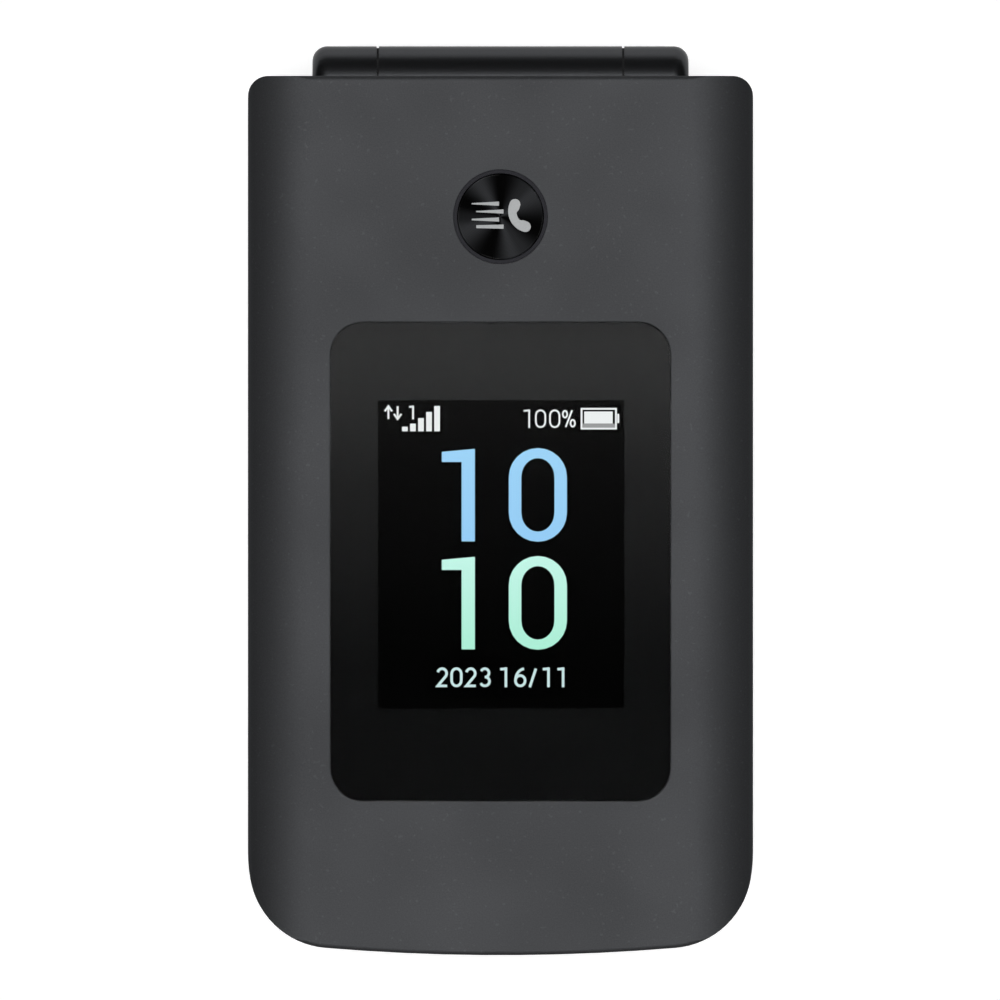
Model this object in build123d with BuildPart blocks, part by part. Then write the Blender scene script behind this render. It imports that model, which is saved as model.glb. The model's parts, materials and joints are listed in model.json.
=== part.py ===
from build123d import *
import os
from math import asin, cos, degrees, radians, sin

os.makedirs("parts", exist_ok=True)

# A clamshell mobile phone, closed and lying on its back. Millimetres: X runs across the
# phone, Y along it towards the hinge, Z out of the lid. The origin is under the middle.

# ---- overall sizes ----
body_width = 57.5
lid_length = 100.0
barrel_overhang = 3.45
base_thickness = 10.8
closing_gap = 0.4
lid_thickness = 7.8
base_inset = 0.45
base_end_gap = 0.3

# ---- outline in plan: a slack foot arc, a corner arc and a slow blend into the side ----
foot_radius = 240.0
corner_radius = 9.5
blend_radius = 18.0
blend_angle = 10.0
hinge_corner_radius = 2.3

# ---- section across: flat back, a slow shoulder arc and a quick one into the side ----
lid_shoulder_radius = 9.0
lid_side_radius = 3.2
base_shoulder_radius = 6.0
base_side_radius = 3.0
shoulder_angle = 45.0
lid_edge_radius = 0.5
base_edge_radius = 1.1
seam_edge_radius = 0.35

# ---- shells ----
wall = 1.4
lid_rim_height = 2.0
lid_floor = 1.3
face_skin = 1.2
front_depth = 2.6
tongue_height = 0.8
fit_gap = 0.1
seam_gap = 0.06
bulkhead_gap = 1.8

# ---- hinge ----
barrel_radius = 4.4
barrel_side_gap = 7.33
ear_length = 7.57
knuckle_gap = 0.25
barrel_relief = 0.3
barrel_end_radius = 1.7
open_angle = 160.0
hinge_bore_radius = 3.1
running_gap = 0.05
ear_end_wall = 1.3
collar_step = 0.45
cartridge_end_x = 2.7
cartridge_key_width = 1.2
cartridge_key_height = 0.5
shaft_radius = 1.4
shaft_head_flat = 4.4
shaft_reach = 12.0
bushing_wall = 0.8
bushing_reach = 5.0

# ---- display ribbon ----
flex_x = 3.4
flex_width = 4.5
flex_thickness = 0.2
flex_gap = 0.3
flex_coil_radius = 1.8
flex_core_radius = 0.9
flex_end_gap = 6.125
flex_plug_length = 4.0
flex_plug_height = 1.0

# ---- outside of the lid ----
window_side_gap = 9.375
window_foot_gap = 17.525
outer_window_radius = 3.8
window_end_gap = 27.975
window_thickness = 0.8
flush_gap = 0.05
outer_ledge_width = 3.875
outer_ledge_end = 8.25
outer_display_side_gap = 2.375
outer_display_end_gap = 4.35
outer_display_thickness = 2.0
outer_display_shift = 0.85
button_end_gap = 16.025
button_radius = 4.85
button_ring_width = 0.4
button_ring_thickness = 1.0
button_gap = 0.1
button_flange = 0.6
button_flange_thickness = 0.5
button_height = 1.7
button_travel = 0.3
button_stem_radius = 1.5
switch_size = 4.5
switch_height = 0.6
lid_board_thickness = 0.6
lid_board_side_gap = 5.75
lid_board_foot_gap = 21.725
lid_board_end_gap = 2.125

# ---- inside face of the lid ----
inner_window_side_gap = 5.55
inner_window_foot_gap = 10.725
inner_window_radius = 2.5
inner_window_end_gap = 12.275
inner_ledge_width = 1.0
inner_ledge_foot = 3.9
inner_ledge_end = 14.3
inner_display_side_gap = 3.75
inner_display_foot_gap = 12.225
inner_display_thickness = 2.3
inner_display_end_gap = 18.575
earpiece_foot_gap = 6.425
earpiece_slot_length = 12.0
earpiece_slot_width = 1.6
earpiece_width = 15.0
earpiece_depth = 6.0
earpiece_height = 2.4
mesh_thickness = 0.5
mesh_border = 0.6
magnet_x = -13.5
magnet_foot_gap = 5.225
magnet_width = 6.0
magnet_depth = 2.5
magnet_height = 1.5
lid_screw_side_gap = 3.75
lid_screw_end_gap = 4.675
lid_screw_corner_gap = 7.25
lid_screw_foot_gap = 7.025
bumper_radius = 1.95
bumper_thickness = 0.65
bumper_proud = 0.25

# ---- fasteners ----
screw_radius = 0.65
screw_pilot_gap = 0.05
screw_hole_radius = 0.9
screw_head_radius = 1.5
screw_head_thickness = 0.6
screw_head_gap = 0.15
boss_wall = 1.1
lid_screw_length = 3.4
base_screw_length = 5.6

# ---- keypad ----
key_proud = 0.15
key_gap = 0.2
key_travel = 0.35
key_height = 2.15
key_flange = 0.5
key_edge_radius = 0.45
key_bridge_x = 1.2
key_bridge_y = 1.6
digit_radius = 2.0
keypad_side_gap = 4.15
key_row_gap = 1.9
keypad_foot_gap = 11.825
side_key_inner_gap = 2.0
side_key_overhang = 0.6
side_key_radius = 1.8
side_key_outer_gap = 3.95
side_key_bridge = 1.2
nav_end_gap = 25.675
nav_size = 24.0
nav_radius = 7.5
nav_gap = 0.3
nav_sink = 0.1
nav_thickness = 1.7
nav_flange_gap = 0.4
nav_edge_radius = 0.6
ok_width = 11.4
ok_length = 10.6
ok_radius = 3.4
ok_gap = 0.4
rocker_plate_size = 16.0
rocker_plate_thickness = 0.2
rocker_plate_gap = 0.2
nib_radius = 0.6
nib_height = 0.12
nib_spacing = 3.4
mat_thickness = 0.5
mat_gap = 0.05
mat_inset = 2.9
mat_border = 1.5
nub_radius = 1.3
nub_height = 0.25
dome_radius = 2.2
dome_crown_radius = 1.2
dome_height = 0.28
dome_sheet_thickness = 0.12
nav_nub_offset = 7.2

# ---- boards and what they carry ----
board_thickness = 0.8
board_gap = 0.3
board_seat_gap = 0.1
bay_ceiling = 0.6
can_height = 1.4
can_side_gap = 6.25
can_length = 14.6
can_inner_x = 1.5
can_end_gap = 18.5
motor_radius = 4.0
motor_height = 2.7
motor_side_gap = 14.75
motor_end_gap = 21.1
camera_size = 8.5
camera_side_gap = 15.75
camera_end_gap = 5.9
camera_barrel_radius = 2.9
camera_body_low = 2.0
camera_window_radius = 4.0
camera_window_thickness = 0.7
speaker_width = 15.0
speaker_length = 11.0
speaker_height = 3.2
speaker_side_gap = 17.85
speaker_end_gap = 7.6
seat_gap = 0.1
seat_wall = 0.8
seat_height = 1.0
grille_slots = 5
grille_slot_width = 0.9
grille_slot_length = 8.0
grille_pitch = 2.0
usb_width = 8.94
usb_height = 3.16
usb_depth = 7.3
usb_shell = 0.3
usb_tongue_width = 6.7
usb_tongue_thickness = 0.7
usb_recess = 0.4
usb_gap = 0.25
mic_x = 6.0
mic_foot_gap = 7.225
mic_hole_radius = 0.5
mic_width = 3.8
mic_length = 3.0
mic_height = 1.0
antenna_usb_gap = 2.23
antenna_post_gap = 0.35
antenna_length = 4.6
antenna_height = 3.6
antenna_foot_gap = 4.925
sim_width = 15.0
sim_length = 13.0
sim_height = 1.35
sim_foot_gap = 27.725

# ---- battery and its door ----
battery_side_gap = 7.75
battery_end_gap = 33.025
battery_gap = 0.3
bay_wall = 1.2
battery_foot_gap = 9.825
battery_edge_radius = 1.2
contacts_width = 10.0
contacts_length = 3.4
contacts_low_z = 1.9
contact_width = 1.4
door_thickness = 0.95
door_gap = 0.1
door_border = 1.5
door_foot_gap = 3.325
door_end_border = 3.9
door_radius = 4.0
door_notch_radius = 6.0
door_notch_depth = 0.6
tab_width = 4.0
tab_thickness = 0.8
tab_height = 1.3
tab_pitch = 20.0
foot_floor = 1.0
contacts_room = 6.1

# ---- volume rocker ----
rocker_length = 18.0
rocker_height = 2.4
rocker_end_gap = 17.1
rocker_z = 5.3
rocker_gap = 0.2
rocker_flange = 0.6
rocker_flange_gap = 0.45
rocker_flange_thickness = 0.5
rocker_proud = 0.35
rocker_notch_depth = 1.4
side_switch_spread = 6.5
side_switch_length = 3.5
side_switch_depth = 1.6
side_switch_height = 1.6

# ---- base screws ----
base_screw_side_gap = 6.25
base_screw_end_gap = 2.8
base_screw_corner_gap = 12.25
base_screw_foot_gap = 5.525
base_screw_seat = 2.9
post_wall = 0.8
boss_clearance = 0.3

# ---- heights that follow ----
lid_low_z = base_thickness + closing_gap
lid_top_z = lid_low_z + lid_thickness
lid_seam_z = lid_low_z + lid_rim_height
lid_skin_z = lid_top_z - wall
lid_floor_z = lid_low_z + lid_floor
base_seam_z = base_thickness - front_depth
face_low_z = base_thickness - face_skin
key_top_z = base_thickness + key_proud
key_low_z = key_top_z - key_height
mat_top_z = key_low_z - key_travel - mat_gap
mat_low_z = mat_top_z - mat_thickness
nub_low_z = mat_low_z - nub_height
dome_top_z = nub_low_z - mat_gap
dome_sheet_top_z = dome_top_z - dome_height
board_top_z = dome_sheet_top_z - dome_sheet_thickness
board_low_z = board_top_z - board_thickness
ceiling_top_z = board_low_z - board_seat_gap
ceiling_low_z = ceiling_top_z - bay_ceiling
inner_display_low_z = lid_floor_z + running_gap
lid_board_low_z = inner_display_low_z + inner_display_thickness + running_gap
lid_board_top_z = lid_board_low_z + lid_board_thickness
hinge_z = base_thickness + closing_gap / 2

# ---- places and sizes that follow ----
overall_length = lid_length + barrel_overhang
foot_y = -overall_length / 2
lid_end_y = foot_y + lid_length
hinge_y = overall_length / 2 - barrel_radius
cavity_end_y = hinge_y - barrel_radius - bulkhead_gap
half_width = body_width / 2
base_half_width = half_width - base_inset
barrel_x = half_width - barrel_side_gap
knuckle_x = barrel_x - ear_length
ear_x = knuckle_x + knuckle_gap
centre_knuckle_length = 2 * knuckle_x
cartridge_length = cartridge_end_x + knuckle_x - running_gap
lean = 180 - open_angle

outer_window_width = body_width - 2 * window_side_gap
outer_window_length = lid_length - window_foot_gap - window_end_gap
outer_window_y = foot_y + window_foot_gap + outer_window_length / 2
outer_opening_width = outer_window_width - 2 * outer_ledge_width
outer_opening_length = outer_window_length - 2 * outer_ledge_end
outer_display_width = outer_window_width - 2 * outer_display_side_gap
outer_display_length = outer_window_length - 2 * outer_display_end_gap
outer_display_y = outer_window_y + outer_display_shift
button_y = lid_end_y - button_end_gap
lid_board_width = body_width - 2 * lid_board_side_gap
lid_board_length = cavity_end_y - lid_board_end_gap - foot_y - lid_board_foot_gap
lid_board_y = foot_y + lid_board_foot_gap + lid_board_length / 2

inner_window_width = body_width - 2 * inner_window_side_gap
inner_window_length = lid_length - inner_window_foot_gap - inner_window_end_gap
inner_window_y = foot_y + inner_window_foot_gap + inner_window_length / 2
inner_opening_width = inner_window_width - 2 * inner_ledge_width
inner_opening_length = inner_window_length - inner_ledge_foot - inner_ledge_end
inner_opening_y = inner_window_y + (inner_ledge_foot - inner_ledge_end) / 2
inner_display_width = body_width - 2 * inner_display_side_gap
inner_display_length = lid_length - inner_display_foot_gap - inner_display_end_gap
inner_display_y = foot_y + inner_display_foot_gap + inner_display_length / 2
earpiece_y = foot_y + earpiece_foot_gap
magnet_y = foot_y + magnet_foot_gap

nav_y = lid_end_y - nav_end_gap
side_key_length = (nav_size + 2 * side_key_overhang - 2 * side_key_bridge) / 3
side_key_pitch = side_key_length + side_key_bridge
digit_end_y = nav_y - side_key_pitch - side_key_length / 2 - key_row_gap
digit_low_y = foot_y + keypad_foot_gap
digit_pitch_x = (body_width - 2 * keypad_side_gap + key_bridge_x) / 3
digit_pitch_y = (digit_end_y - digit_low_y + key_bridge_y) / 4
digit_width = digit_pitch_x - key_bridge_x
digit_length = digit_pitch_y - key_bridge_y
digit_foot_y = digit_low_y + digit_length / 2
side_key_inner_x = nav_size / 2 + side_key_inner_gap
side_key_width = half_width - side_key_outer_gap - side_key_inner_x
side_key_x = side_key_inner_x + side_key_width / 2

can_width = half_width - can_side_gap - can_inner_x
can_x = -can_inner_x - can_width / 2
can_y = cavity_end_y - can_end_gap
motor_x = half_width - motor_side_gap
motor_y = cavity_end_y - motor_end_gap
camera_x = camera_side_gap - half_width
camera_y = cavity_end_y - camera_end_gap
flex_end_y = cavity_end_y - flex_end_gap
speaker_x = half_width - speaker_side_gap
speaker_y = cavity_end_y - speaker_end_gap
mic_y = foot_y + mic_foot_gap
antenna_y = foot_y + antenna_foot_gap
sim_y = foot_y + sim_foot_gap

battery_width = body_width - 2 * battery_side_gap
battery_foot_y = foot_y + battery_foot_gap
battery_length = cavity_end_y - battery_end_gap - battery_foot_y
battery_y = battery_foot_y + battery_length / 2
door_width = battery_width + 2 * door_border
door_foot_y = foot_y + door_foot_gap
door_end_y = battery_foot_y + battery_length + door_end_border
door_length = door_end_y - door_foot_y
door_y = (door_end_y + door_foot_y) / 2
bay_width = battery_width + 2 * battery_gap
bay_length = battery_length + 2 * battery_gap
bay_foot_y = battery_foot_y - battery_gap
bay_end_y = bay_foot_y + bay_length
deep_pocket_y = bay_end_y + contacts_room
rocker_y = cavity_end_y - rocker_end_gap

lid_screws = [
    (side * x, y)
    for side in (-1, 1)
    for x, y in (
        (half_width - lid_screw_side_gap, lid_end_y - lid_screw_end_gap),
        (half_width - lid_screw_corner_gap, foot_y + lid_screw_foot_gap),
    )
]
base_screw_places = [
    (side * x, y)
    for side in (-1, 1)
    for x, y in (
        (half_width - base_screw_side_gap, cavity_end_y - base_screw_end_gap),
        (half_width - base_screw_corner_gap, foot_y + base_screw_foot_gap),
    )
]

digit_rows = (
    ("key_1", "key_2", "key_3"),
    ("key_4", "key_5", "key_6"),
    ("key_7", "key_8", "key_9"),
    ("key_star", "key_0", "key_hash"),
)
side_rows = (
    ("soft_key_left", "soft_key_right"),
    ("message_key", "camera_key"),
    ("send_key", "end_key"),
)
digit_places = {
    name: ((column - 1) * digit_pitch_x, digit_foot_y + (3 - row) * digit_pitch_y)
    for row, names in enumerate(digit_rows)
    for column, name in enumerate(names)
}
side_places = {
    name: ((2 * column - 1) * side_key_x, nav_y + (1 - row) * side_key_pitch)
    for row, names in enumerate(side_rows)
    for column, name in enumerate(names)
}
nav_nubs = [
    (0, nav_y + nav_nub_offset),
    (0, nav_y - nav_nub_offset),
    (nav_nub_offset, nav_y),
    (-nav_nub_offset, nav_y),
]
pressed_places = [*digit_places.values(), *side_places.values(), (0, nav_y)]


def write(builder, name):
    """Labels a finished piece and writes it as one STEP file."""
    builder.part.label = name
    export_step(builder.part, f"parts/{name}.step")


def plan(inset, end_y=None):
    """Face of the phone's outline in plan, drawn in by inset and cut off at end_y."""
    rise = half_width - corner_radius * cos(radians(blend_angle))
    rise -= blend_radius * (1 - cos(radians(blend_angle)))
    foot_angle = degrees(asin(rise / (foot_radius - corner_radius)))
    with BuildSketch(mode=Mode.PRIVATE) as outline:
        with BuildLine():
            foot = JernArc((0, foot_y), (1, 0), foot_radius, foot_angle)
            corner = JernArc(foot @ 1, foot % 1, corner_radius, 90 - foot_angle - blend_angle)
            blend = JernArc(corner @ 1, corner % 1, blend_radius, blend_angle)
            side = Line(blend @ 1, (half_width, lid_end_y - hinge_corner_radius))
            end = JernArc(side @ 1, (0, 1), hinge_corner_radius, 90)
            Line(end @ 1, (0, lid_end_y))
            mirror(about=Plane.YZ)
        make_face()
        if inset:
            offset(amount=-inset)
        if end_y is not None:
            with Locations((0, end_y)):
                Rectangle(2 * body_width, lid_length, align=(Align.CENTER, Align.MIN), mode=Mode.SUBTRACT)
    return outline.sketch


def slab(face, low_z, high_z):
    """Upright solid on a face in plan, between two heights."""
    return extrude(Pos(0, 0, low_z) * face, amount=high_z - low_z, mode=Mode.PRIVATE)


def shell_form(inset, out_half_width, flat_z, far_z, shoulder, side, plan_inset, edge):
    """Outside form of one half, drawn in by inset: flat at flat_z, rounded into its sides,
    open towards far_z, and trimmed to the outline in plan."""
    up = 1 if flat_z > far_z else -1
    edge_x = out_half_width - inset
    flat = flat_z - up * inset
    slow, quick = shoulder - inset, side - inset
    turn = radians(shoulder_angle)
    drop = slow * (1 - cos(turn)) + quick * cos(turn)
    with BuildPart() as form:
        with BuildSketch(Plane.XZ):
            with BuildLine():
                rise = Line((edge_x, far_z), (edge_x, flat - up * drop))
                curl = JernArc(rise @ 1, (0, up), quick, up * (90 - shoulder_angle))
                ease = JernArc(curl @ 1, curl % 1, slow, up * shoulder_angle)
                Line(ease @ 1, (0, flat))
                Line((0, far_z), (edge_x, far_z))
                mirror(about=Plane.YZ)
            make_face()
        extrude(amount=overall_length, both=True)
    trim = slab(plan(plan_inset + inset), min(flat, far_z), max(flat, far_z))
    if not edge:
        return form.part & trim
    rim = trim.faces().sort_by(Axis.Z)[-1 if up > 0 else 0].edges()
    trimmed = form.part & trim.fillet(edge, rim)
    seam_rim = trimmed.faces().sort_by(Axis.Z)[0 if up > 0 else -1].edges()
    return trimmed.fillet(seam_edge_radius, seam_rim)


def lid_form(inset=0, edge=0):
    """Outside form of the lid above its inner face."""
    return shell_form(
        inset, half_width, lid_top_z, lid_low_z, lid_shoulder_radius, lid_side_radius, 0, edge
    )


def base_form(inset=0, edge=0):
    """Outside form of the base below the keypad face."""
    return shell_form(
        inset, base_half_width, 0, base_thickness, base_shoulder_radius, base_side_radius, base_inset, edge
    )


def barrel(radius, low_x, high_x):
    """Round bar on the hinge axis between two stations across the phone."""
    bar = Cylinder(
        radius, high_x - low_x, align=(Align.CENTER, Align.CENTER, Align.MIN), mode=Mode.PRIVATE
    )
    return Plane.YZ.offset(low_x) * Pos(hinge_y, hinge_z) * bar


def block(size, low):
    """Rectangular block from its size and its lowest corner."""
    return Pos(*low) * Box(*size, align=(Align.MIN, Align.MIN, Align.MIN), mode=Mode.PRIVATE)


def seam_ring(outline_inset, slack, low_z, high_z):
    """Inner half of the wall around a cavity, between two heights: a shell's tongue with a
    positive slack, the rebate that takes it with a negative one."""
    outer = plan(outline_inset + wall / 2 + slack, cavity_end_y + wall / 2 - slack)
    return slab(outer - plan(outline_inset + wall, cavity_end_y), low_z, high_z)


def open_clearance():
    """What the lid's end sweeps through when it is fully open: everything past a leaning plane."""
    reach = 4 * base_thickness
    lead = lid_end_y - hinge_y + base_end_gap
    sides = (Align.MIN, Align.CENTER, Align.CENTER)
    wedge = Pos(-lead, 0, 0) * Box(reach, 2 * body_width, 2 * reach, align=sides)
    return Pos(0, hinge_y, hinge_z) * Rot(lean, 0, 0) * Rot(0, 0, 90) * wedge


# Shared forms of the two shells.
lid_outside = lid_form(edge=lid_edge_radius)
lid_inside = lid_form(wall) & slab(plan(0, cavity_end_y), lid_low_z, lid_top_z)
base_outside = base_form(edge=base_edge_radius) - open_clearance()
base_inside = base_form(wall)
barrel_pocket = barrel(barrel_radius + barrel_relief, -barrel_x - barrel_relief, barrel_x + barrel_relief)
middle_pocket = barrel(barrel_radius + barrel_relief, -ear_x, ear_x)


def layer(low_z, high_z):
    """Block over the whole phone between two heights."""
    size = (2 * body_width, 2 * overall_length, high_z - low_z)
    return block(size, (-body_width, -overall_length, low_z))


def pad(width, length, radius, low_z, high_z, place=(0, 0)):
    """Upright rounded-rectangle block between two heights."""
    with BuildSketch(mode=Mode.PRIVATE) as outline:
        with Locations(place):
            RectangleRounded(width, length, radius)
    return slab(outline.sketch, low_z, high_z)


def post(radius, low_z, high_z, place=(0, 0)):
    """Upright round bar between two heights."""
    with BuildSketch(mode=Mode.PRIVATE) as outline:
        with Locations(place):
            Circle(radius)
    return slab(outline.sketch, low_z, high_z)


def soften_top(solid, radius):
    """Rounds the highest rim of a block."""
    return solid.fillet(radius, solid.faces().sort_by(Axis.Z)[-1].edges())


# ================================ lid shells ================================

with BuildPart() as lid_outer_cover:
    add(lid_outside & layer(lid_seam_z + seam_gap, lid_top_z))
    add(lid_inside, mode=Mode.SUBTRACT)
    add(
        seam_ring(0, -fit_gap / 2, lid_seam_z, lid_seam_z + tongue_height + fit_gap),
        mode=Mode.SUBTRACT,
    )
    add(barrel_pocket, mode=Mode.SUBTRACT)
    # Pocket for the outer window, and the opening behind it.
    with BuildSketch(Plane.XY.offset(lid_top_z)):
        with Locations((0, outer_window_y)):
            RectangleRounded(
                outer_window_width + fit_gap, outer_window_length + fit_gap, outer_window_radius + fit_gap / 2
            )
    extrude(amount=-(window_thickness + 2 * flush_gap), mode=Mode.SUBTRACT)
    with BuildSketch(Plane.XY.offset(lid_top_z)):
        with Locations((0, outer_display_y)):
            Rectangle(outer_opening_width, outer_opening_length)
    extrude(amount=-wall, mode=Mode.SUBTRACT)
    # Seat of the button's ring, and the hole for its cap.
    with BuildSketch(Plane.XY.offset(lid_top_z)):
        with Locations((0, button_y)):
            Circle(button_radius + button_gap + button_ring_width + fit_gap / 2)
    extrude(amount=-(button_ring_thickness + flush_gap), mode=Mode.SUBTRACT)
    with BuildSketch(Plane.XY.offset(lid_top_z)):
        with Locations((0, button_y)):
            Circle(button_radius + button_gap)
    extrude(amount=-wall, mode=Mode.SUBTRACT)
    # Bosses that take the lid's screws.
    for place in lid_screws:
        if place[1] < 0:
            add(post(screw_radius + boss_wall, lid_seam_z + seam_gap, lid_skin_z + flush_gap, place))
        add(
            post(screw_radius + screw_pilot_gap, lid_seam_z, lid_seam_z + lid_screw_length, place),
            mode=Mode.SUBTRACT,
        )
write(lid_outer_cover, "lid_outer_cover")

lid_screw_seat_z = lid_low_z + bumper_thickness - bumper_proud + flush_gap + screw_head_thickness

with BuildPart() as lid_inner_cover:
    add(lid_outside & layer(lid_low_z, lid_seam_z))
    add(lid_inside & layer(lid_floor_z, lid_top_z), mode=Mode.SUBTRACT)
    add(seam_ring(0, fit_gap / 2, lid_seam_z - fit_gap, lid_seam_z + tongue_height))
    # Pocket for the inner window, opening for the display, and the earpiece slot.
    with BuildSketch(Plane.XY.offset(lid_low_z)):
        with Locations((0, inner_window_y)):
            RectangleRounded(
                inner_window_width + fit_gap, inner_window_length + fit_gap, inner_window_radius + fit_gap / 2
            )
    extrude(amount=window_thickness + 2 * flush_gap, mode=Mode.SUBTRACT)
    with BuildSketch(Plane.XY.offset(lid_low_z)):
        with Locations((0, inner_opening_y)):
            Rectangle(inner_opening_width, inner_opening_length)
        with Locations((0, earpiece_y)):
            SlotOverall(earpiece_slot_length, earpiece_slot_width)
    extrude(amount=lid_floor, mode=Mode.SUBTRACT)
    with BuildSketch(Plane.XY.offset(lid_floor_z)):
        with Locations((0, earpiece_y)):
            SlotOverall(
                earpiece_slot_length + 2 * mesh_border + fit_gap,
                earpiece_slot_width + 2 * mesh_border + fit_gap,
            )
    extrude(amount=-(mesh_thickness + flush_gap), mode=Mode.SUBTRACT)
    # Screw bosses, each with a seat for the head and a recess for its bumper.
    for place in lid_screws:
        if place[1] < 0:
            add(post(screw_head_radius + boss_wall, lid_low_z, lid_seam_z, place))
        add(post(screw_hole_radius, lid_low_z, lid_seam_z, place), mode=Mode.SUBTRACT)
        add(
            post(screw_head_radius + screw_head_gap, lid_low_z, lid_screw_seat_z, place),
            mode=Mode.SUBTRACT,
        )
        add(
            post(bumper_radius + fit_gap, lid_low_z, lid_low_z + bumper_thickness - bumper_proud, place),
            mode=Mode.SUBTRACT,
        )
    # Middle knuckle and the web that carries it.
    add(barrel_pocket, mode=Mode.SUBTRACT)
    add(barrel(barrel_radius, -knuckle_x, knuckle_x))
    add(
        block(
            (centre_knuckle_length, hinge_y - cavity_end_y, lid_rim_height),
            (-knuckle_x, cavity_end_y, lid_low_z),
        )
    )
    add(barrel(hinge_bore_radius, -knuckle_x, knuckle_x), mode=Mode.SUBTRACT)
    # Keyway of the friction cartridge, and the way out for the display's ribbon.
    add(
        block(
            (cartridge_length + fit_gap, cartridge_key_height + 2 * fit_gap, cartridge_key_width + fit_gap),
            (
                -knuckle_x,
                hinge_y + hinge_bore_radius - fit_gap,
                hinge_z - (cartridge_key_width + fit_gap) / 2,
            ),
        ),
        mode=Mode.SUBTRACT,
    )
    add(
        block(
            (
                flex_width + 2 * flex_gap,
                hinge_y - cavity_end_y,
                flex_coil_radius - (lid_floor_z - hinge_z) + flex_gap,
            ),
            (flex_x - flex_gap, cavity_end_y, lid_floor_z),
        )
        - barrel(hinge_bore_radius - flex_gap, -knuckle_x, knuckle_x),
        mode=Mode.SUBTRACT,
    )
write(lid_inner_cover, "lid_inner_cover")

# ============================ outside of the lid ============================

with BuildPart() as outer_window:
    with BuildSketch(Plane.XY.offset(lid_top_z - flush_gap)):
        with Locations((0, outer_window_y)):
            RectangleRounded(outer_window_width, outer_window_length, outer_window_radius)
    extrude(amount=-window_thickness)
write(outer_window, "outer_window")

with BuildPart() as outer_display:
    with BuildSketch(Plane.XY.offset(lid_skin_z - flush_gap)):
        with Locations((0, outer_display_y)):
            Rectangle(outer_display_width, outer_display_length)
    extrude(amount=-outer_display_thickness)
    chamfer(outer_display.faces().sort_by(Axis.Z)[0].edges(), flush_gap * 4)
write(outer_display, "outer_display")

button_top_z = lid_top_z - 2 * flush_gap
flange_top_z = lid_skin_z - flush_gap
switch_top_z = lid_board_top_z + switch_height

with BuildPart() as quick_call_button:
    with BuildSketch(Plane.XY.offset(button_top_z)):
        with Locations((0, button_y)):
            Circle(button_radius)
    extrude(amount=-button_height)
    fillet(quick_call_button.faces().sort_by(Axis.Z)[-1].edges(), 2 * flush_gap)
    with BuildSketch(Plane.XY.offset(flange_top_z)):
        with Locations((0, button_y)):
            Circle(button_radius + button_flange)
    extrude(amount=-button_flange_thickness)
    with BuildSketch(Plane.XY.offset(flange_top_z)):
        with Locations((0, button_y)):
            Circle(button_stem_radius)
    extrude(amount=switch_top_z + button_travel + flush_gap - flange_top_z)
write(quick_call_button, "quick_call_button")

with BuildPart() as button_trim_ring:
    with BuildSketch(Plane.XY.offset(lid_top_z - flush_gap)):
        with Locations((0, button_y)):
            Circle(button_radius + button_gap + button_ring_width)
            Circle(button_radius + button_gap, mode=Mode.SUBTRACT)
    extrude(amount=-(button_ring_thickness - flush_gap))
write(button_trim_ring, "button_trim_ring")

with BuildPart() as button_switch:
    with BuildSketch(Plane.XY.offset(lid_board_top_z)):
        with Locations((0, button_y)):
            Rectangle(switch_size, switch_size)
    extrude(amount=switch_height / 2)
    with BuildSketch(Plane.XY.offset(lid_board_top_z)):
        with Locations((0, button_y)):
            Circle(button_stem_radius)
    extrude(amount=switch_height)
write(button_switch, "button_switch")

with BuildPart() as lid_board:
    with BuildSketch(Plane.XY.offset(lid_board_low_z)):
        with Locations((0, lid_board_y)):
            RectangleRounded(lid_board_width, lid_board_length, inner_window_radius)
    extrude(amount=lid_board_thickness)
write(lid_board, "lid_board")

# =========================== inside face of the lid ===========================

with BuildPart() as inner_window:
    with BuildSketch(Plane.XY.offset(lid_low_z + flush_gap)):
        with Locations((0, inner_window_y)):
            RectangleRounded(inner_window_width, inner_window_length, inner_window_radius)
    extrude(amount=window_thickness)
write(inner_window, "inner_window")

with BuildPart() as inner_display:
    with BuildSketch(Plane.XY.offset(inner_display_low_z)):
        with Locations((0, inner_display_y)):
            Rectangle(inner_display_width, inner_display_length)
    extrude(amount=inner_display_thickness)
write(inner_display, "inner_display")

with BuildPart() as earpiece_mesh:
    with BuildSketch(Plane.XY.offset(lid_floor_z)):
        with Locations((0, earpiece_y)):
            SlotOverall(earpiece_slot_length + 2 * mesh_border, earpiece_slot_width + 2 * mesh_border)
    extrude(amount=-mesh_thickness)
write(earpiece_mesh, "earpiece_mesh")

with BuildPart() as earpiece:
    with BuildSketch(Plane.XY.offset(lid_floor_z + flush_gap)):
        with Locations((0, earpiece_y)):
            RectangleRounded(earpiece_width, earpiece_depth, earpiece_depth / 3)
    extrude(amount=earpiece_height)
write(earpiece, "earpiece")

with BuildPart() as lid_magnet:
    with BuildSketch(Plane.XY.offset(lid_floor_z + flush_gap)):
        with Locations((magnet_x, magnet_y)):
            Rectangle(magnet_width, magnet_depth)
    extrude(amount=magnet_height)
write(lid_magnet, "lid_magnet")

with BuildPart() as lid_bumpers:
    for place in lid_screws:
        add(post(bumper_radius, lid_low_z - bumper_proud, lid_low_z - bumper_proud + bumper_thickness, place))
    fillet(lid_bumpers.faces().group_by(Axis.Z)[0].edges(), bumper_proud - flush_gap)
write(lid_bumpers, "lid_bumpers")

with BuildPart() as lid_screws_set:
    for place in lid_screws:
        add(post(screw_head_radius, lid_screw_seat_z - screw_head_thickness, lid_screw_seat_z, place))
        add(post(screw_radius, lid_screw_seat_z, lid_screw_seat_z + lid_screw_length, place))
write(lid_screws_set, "lid_screws")

# ================================== hinge ==================================

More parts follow.
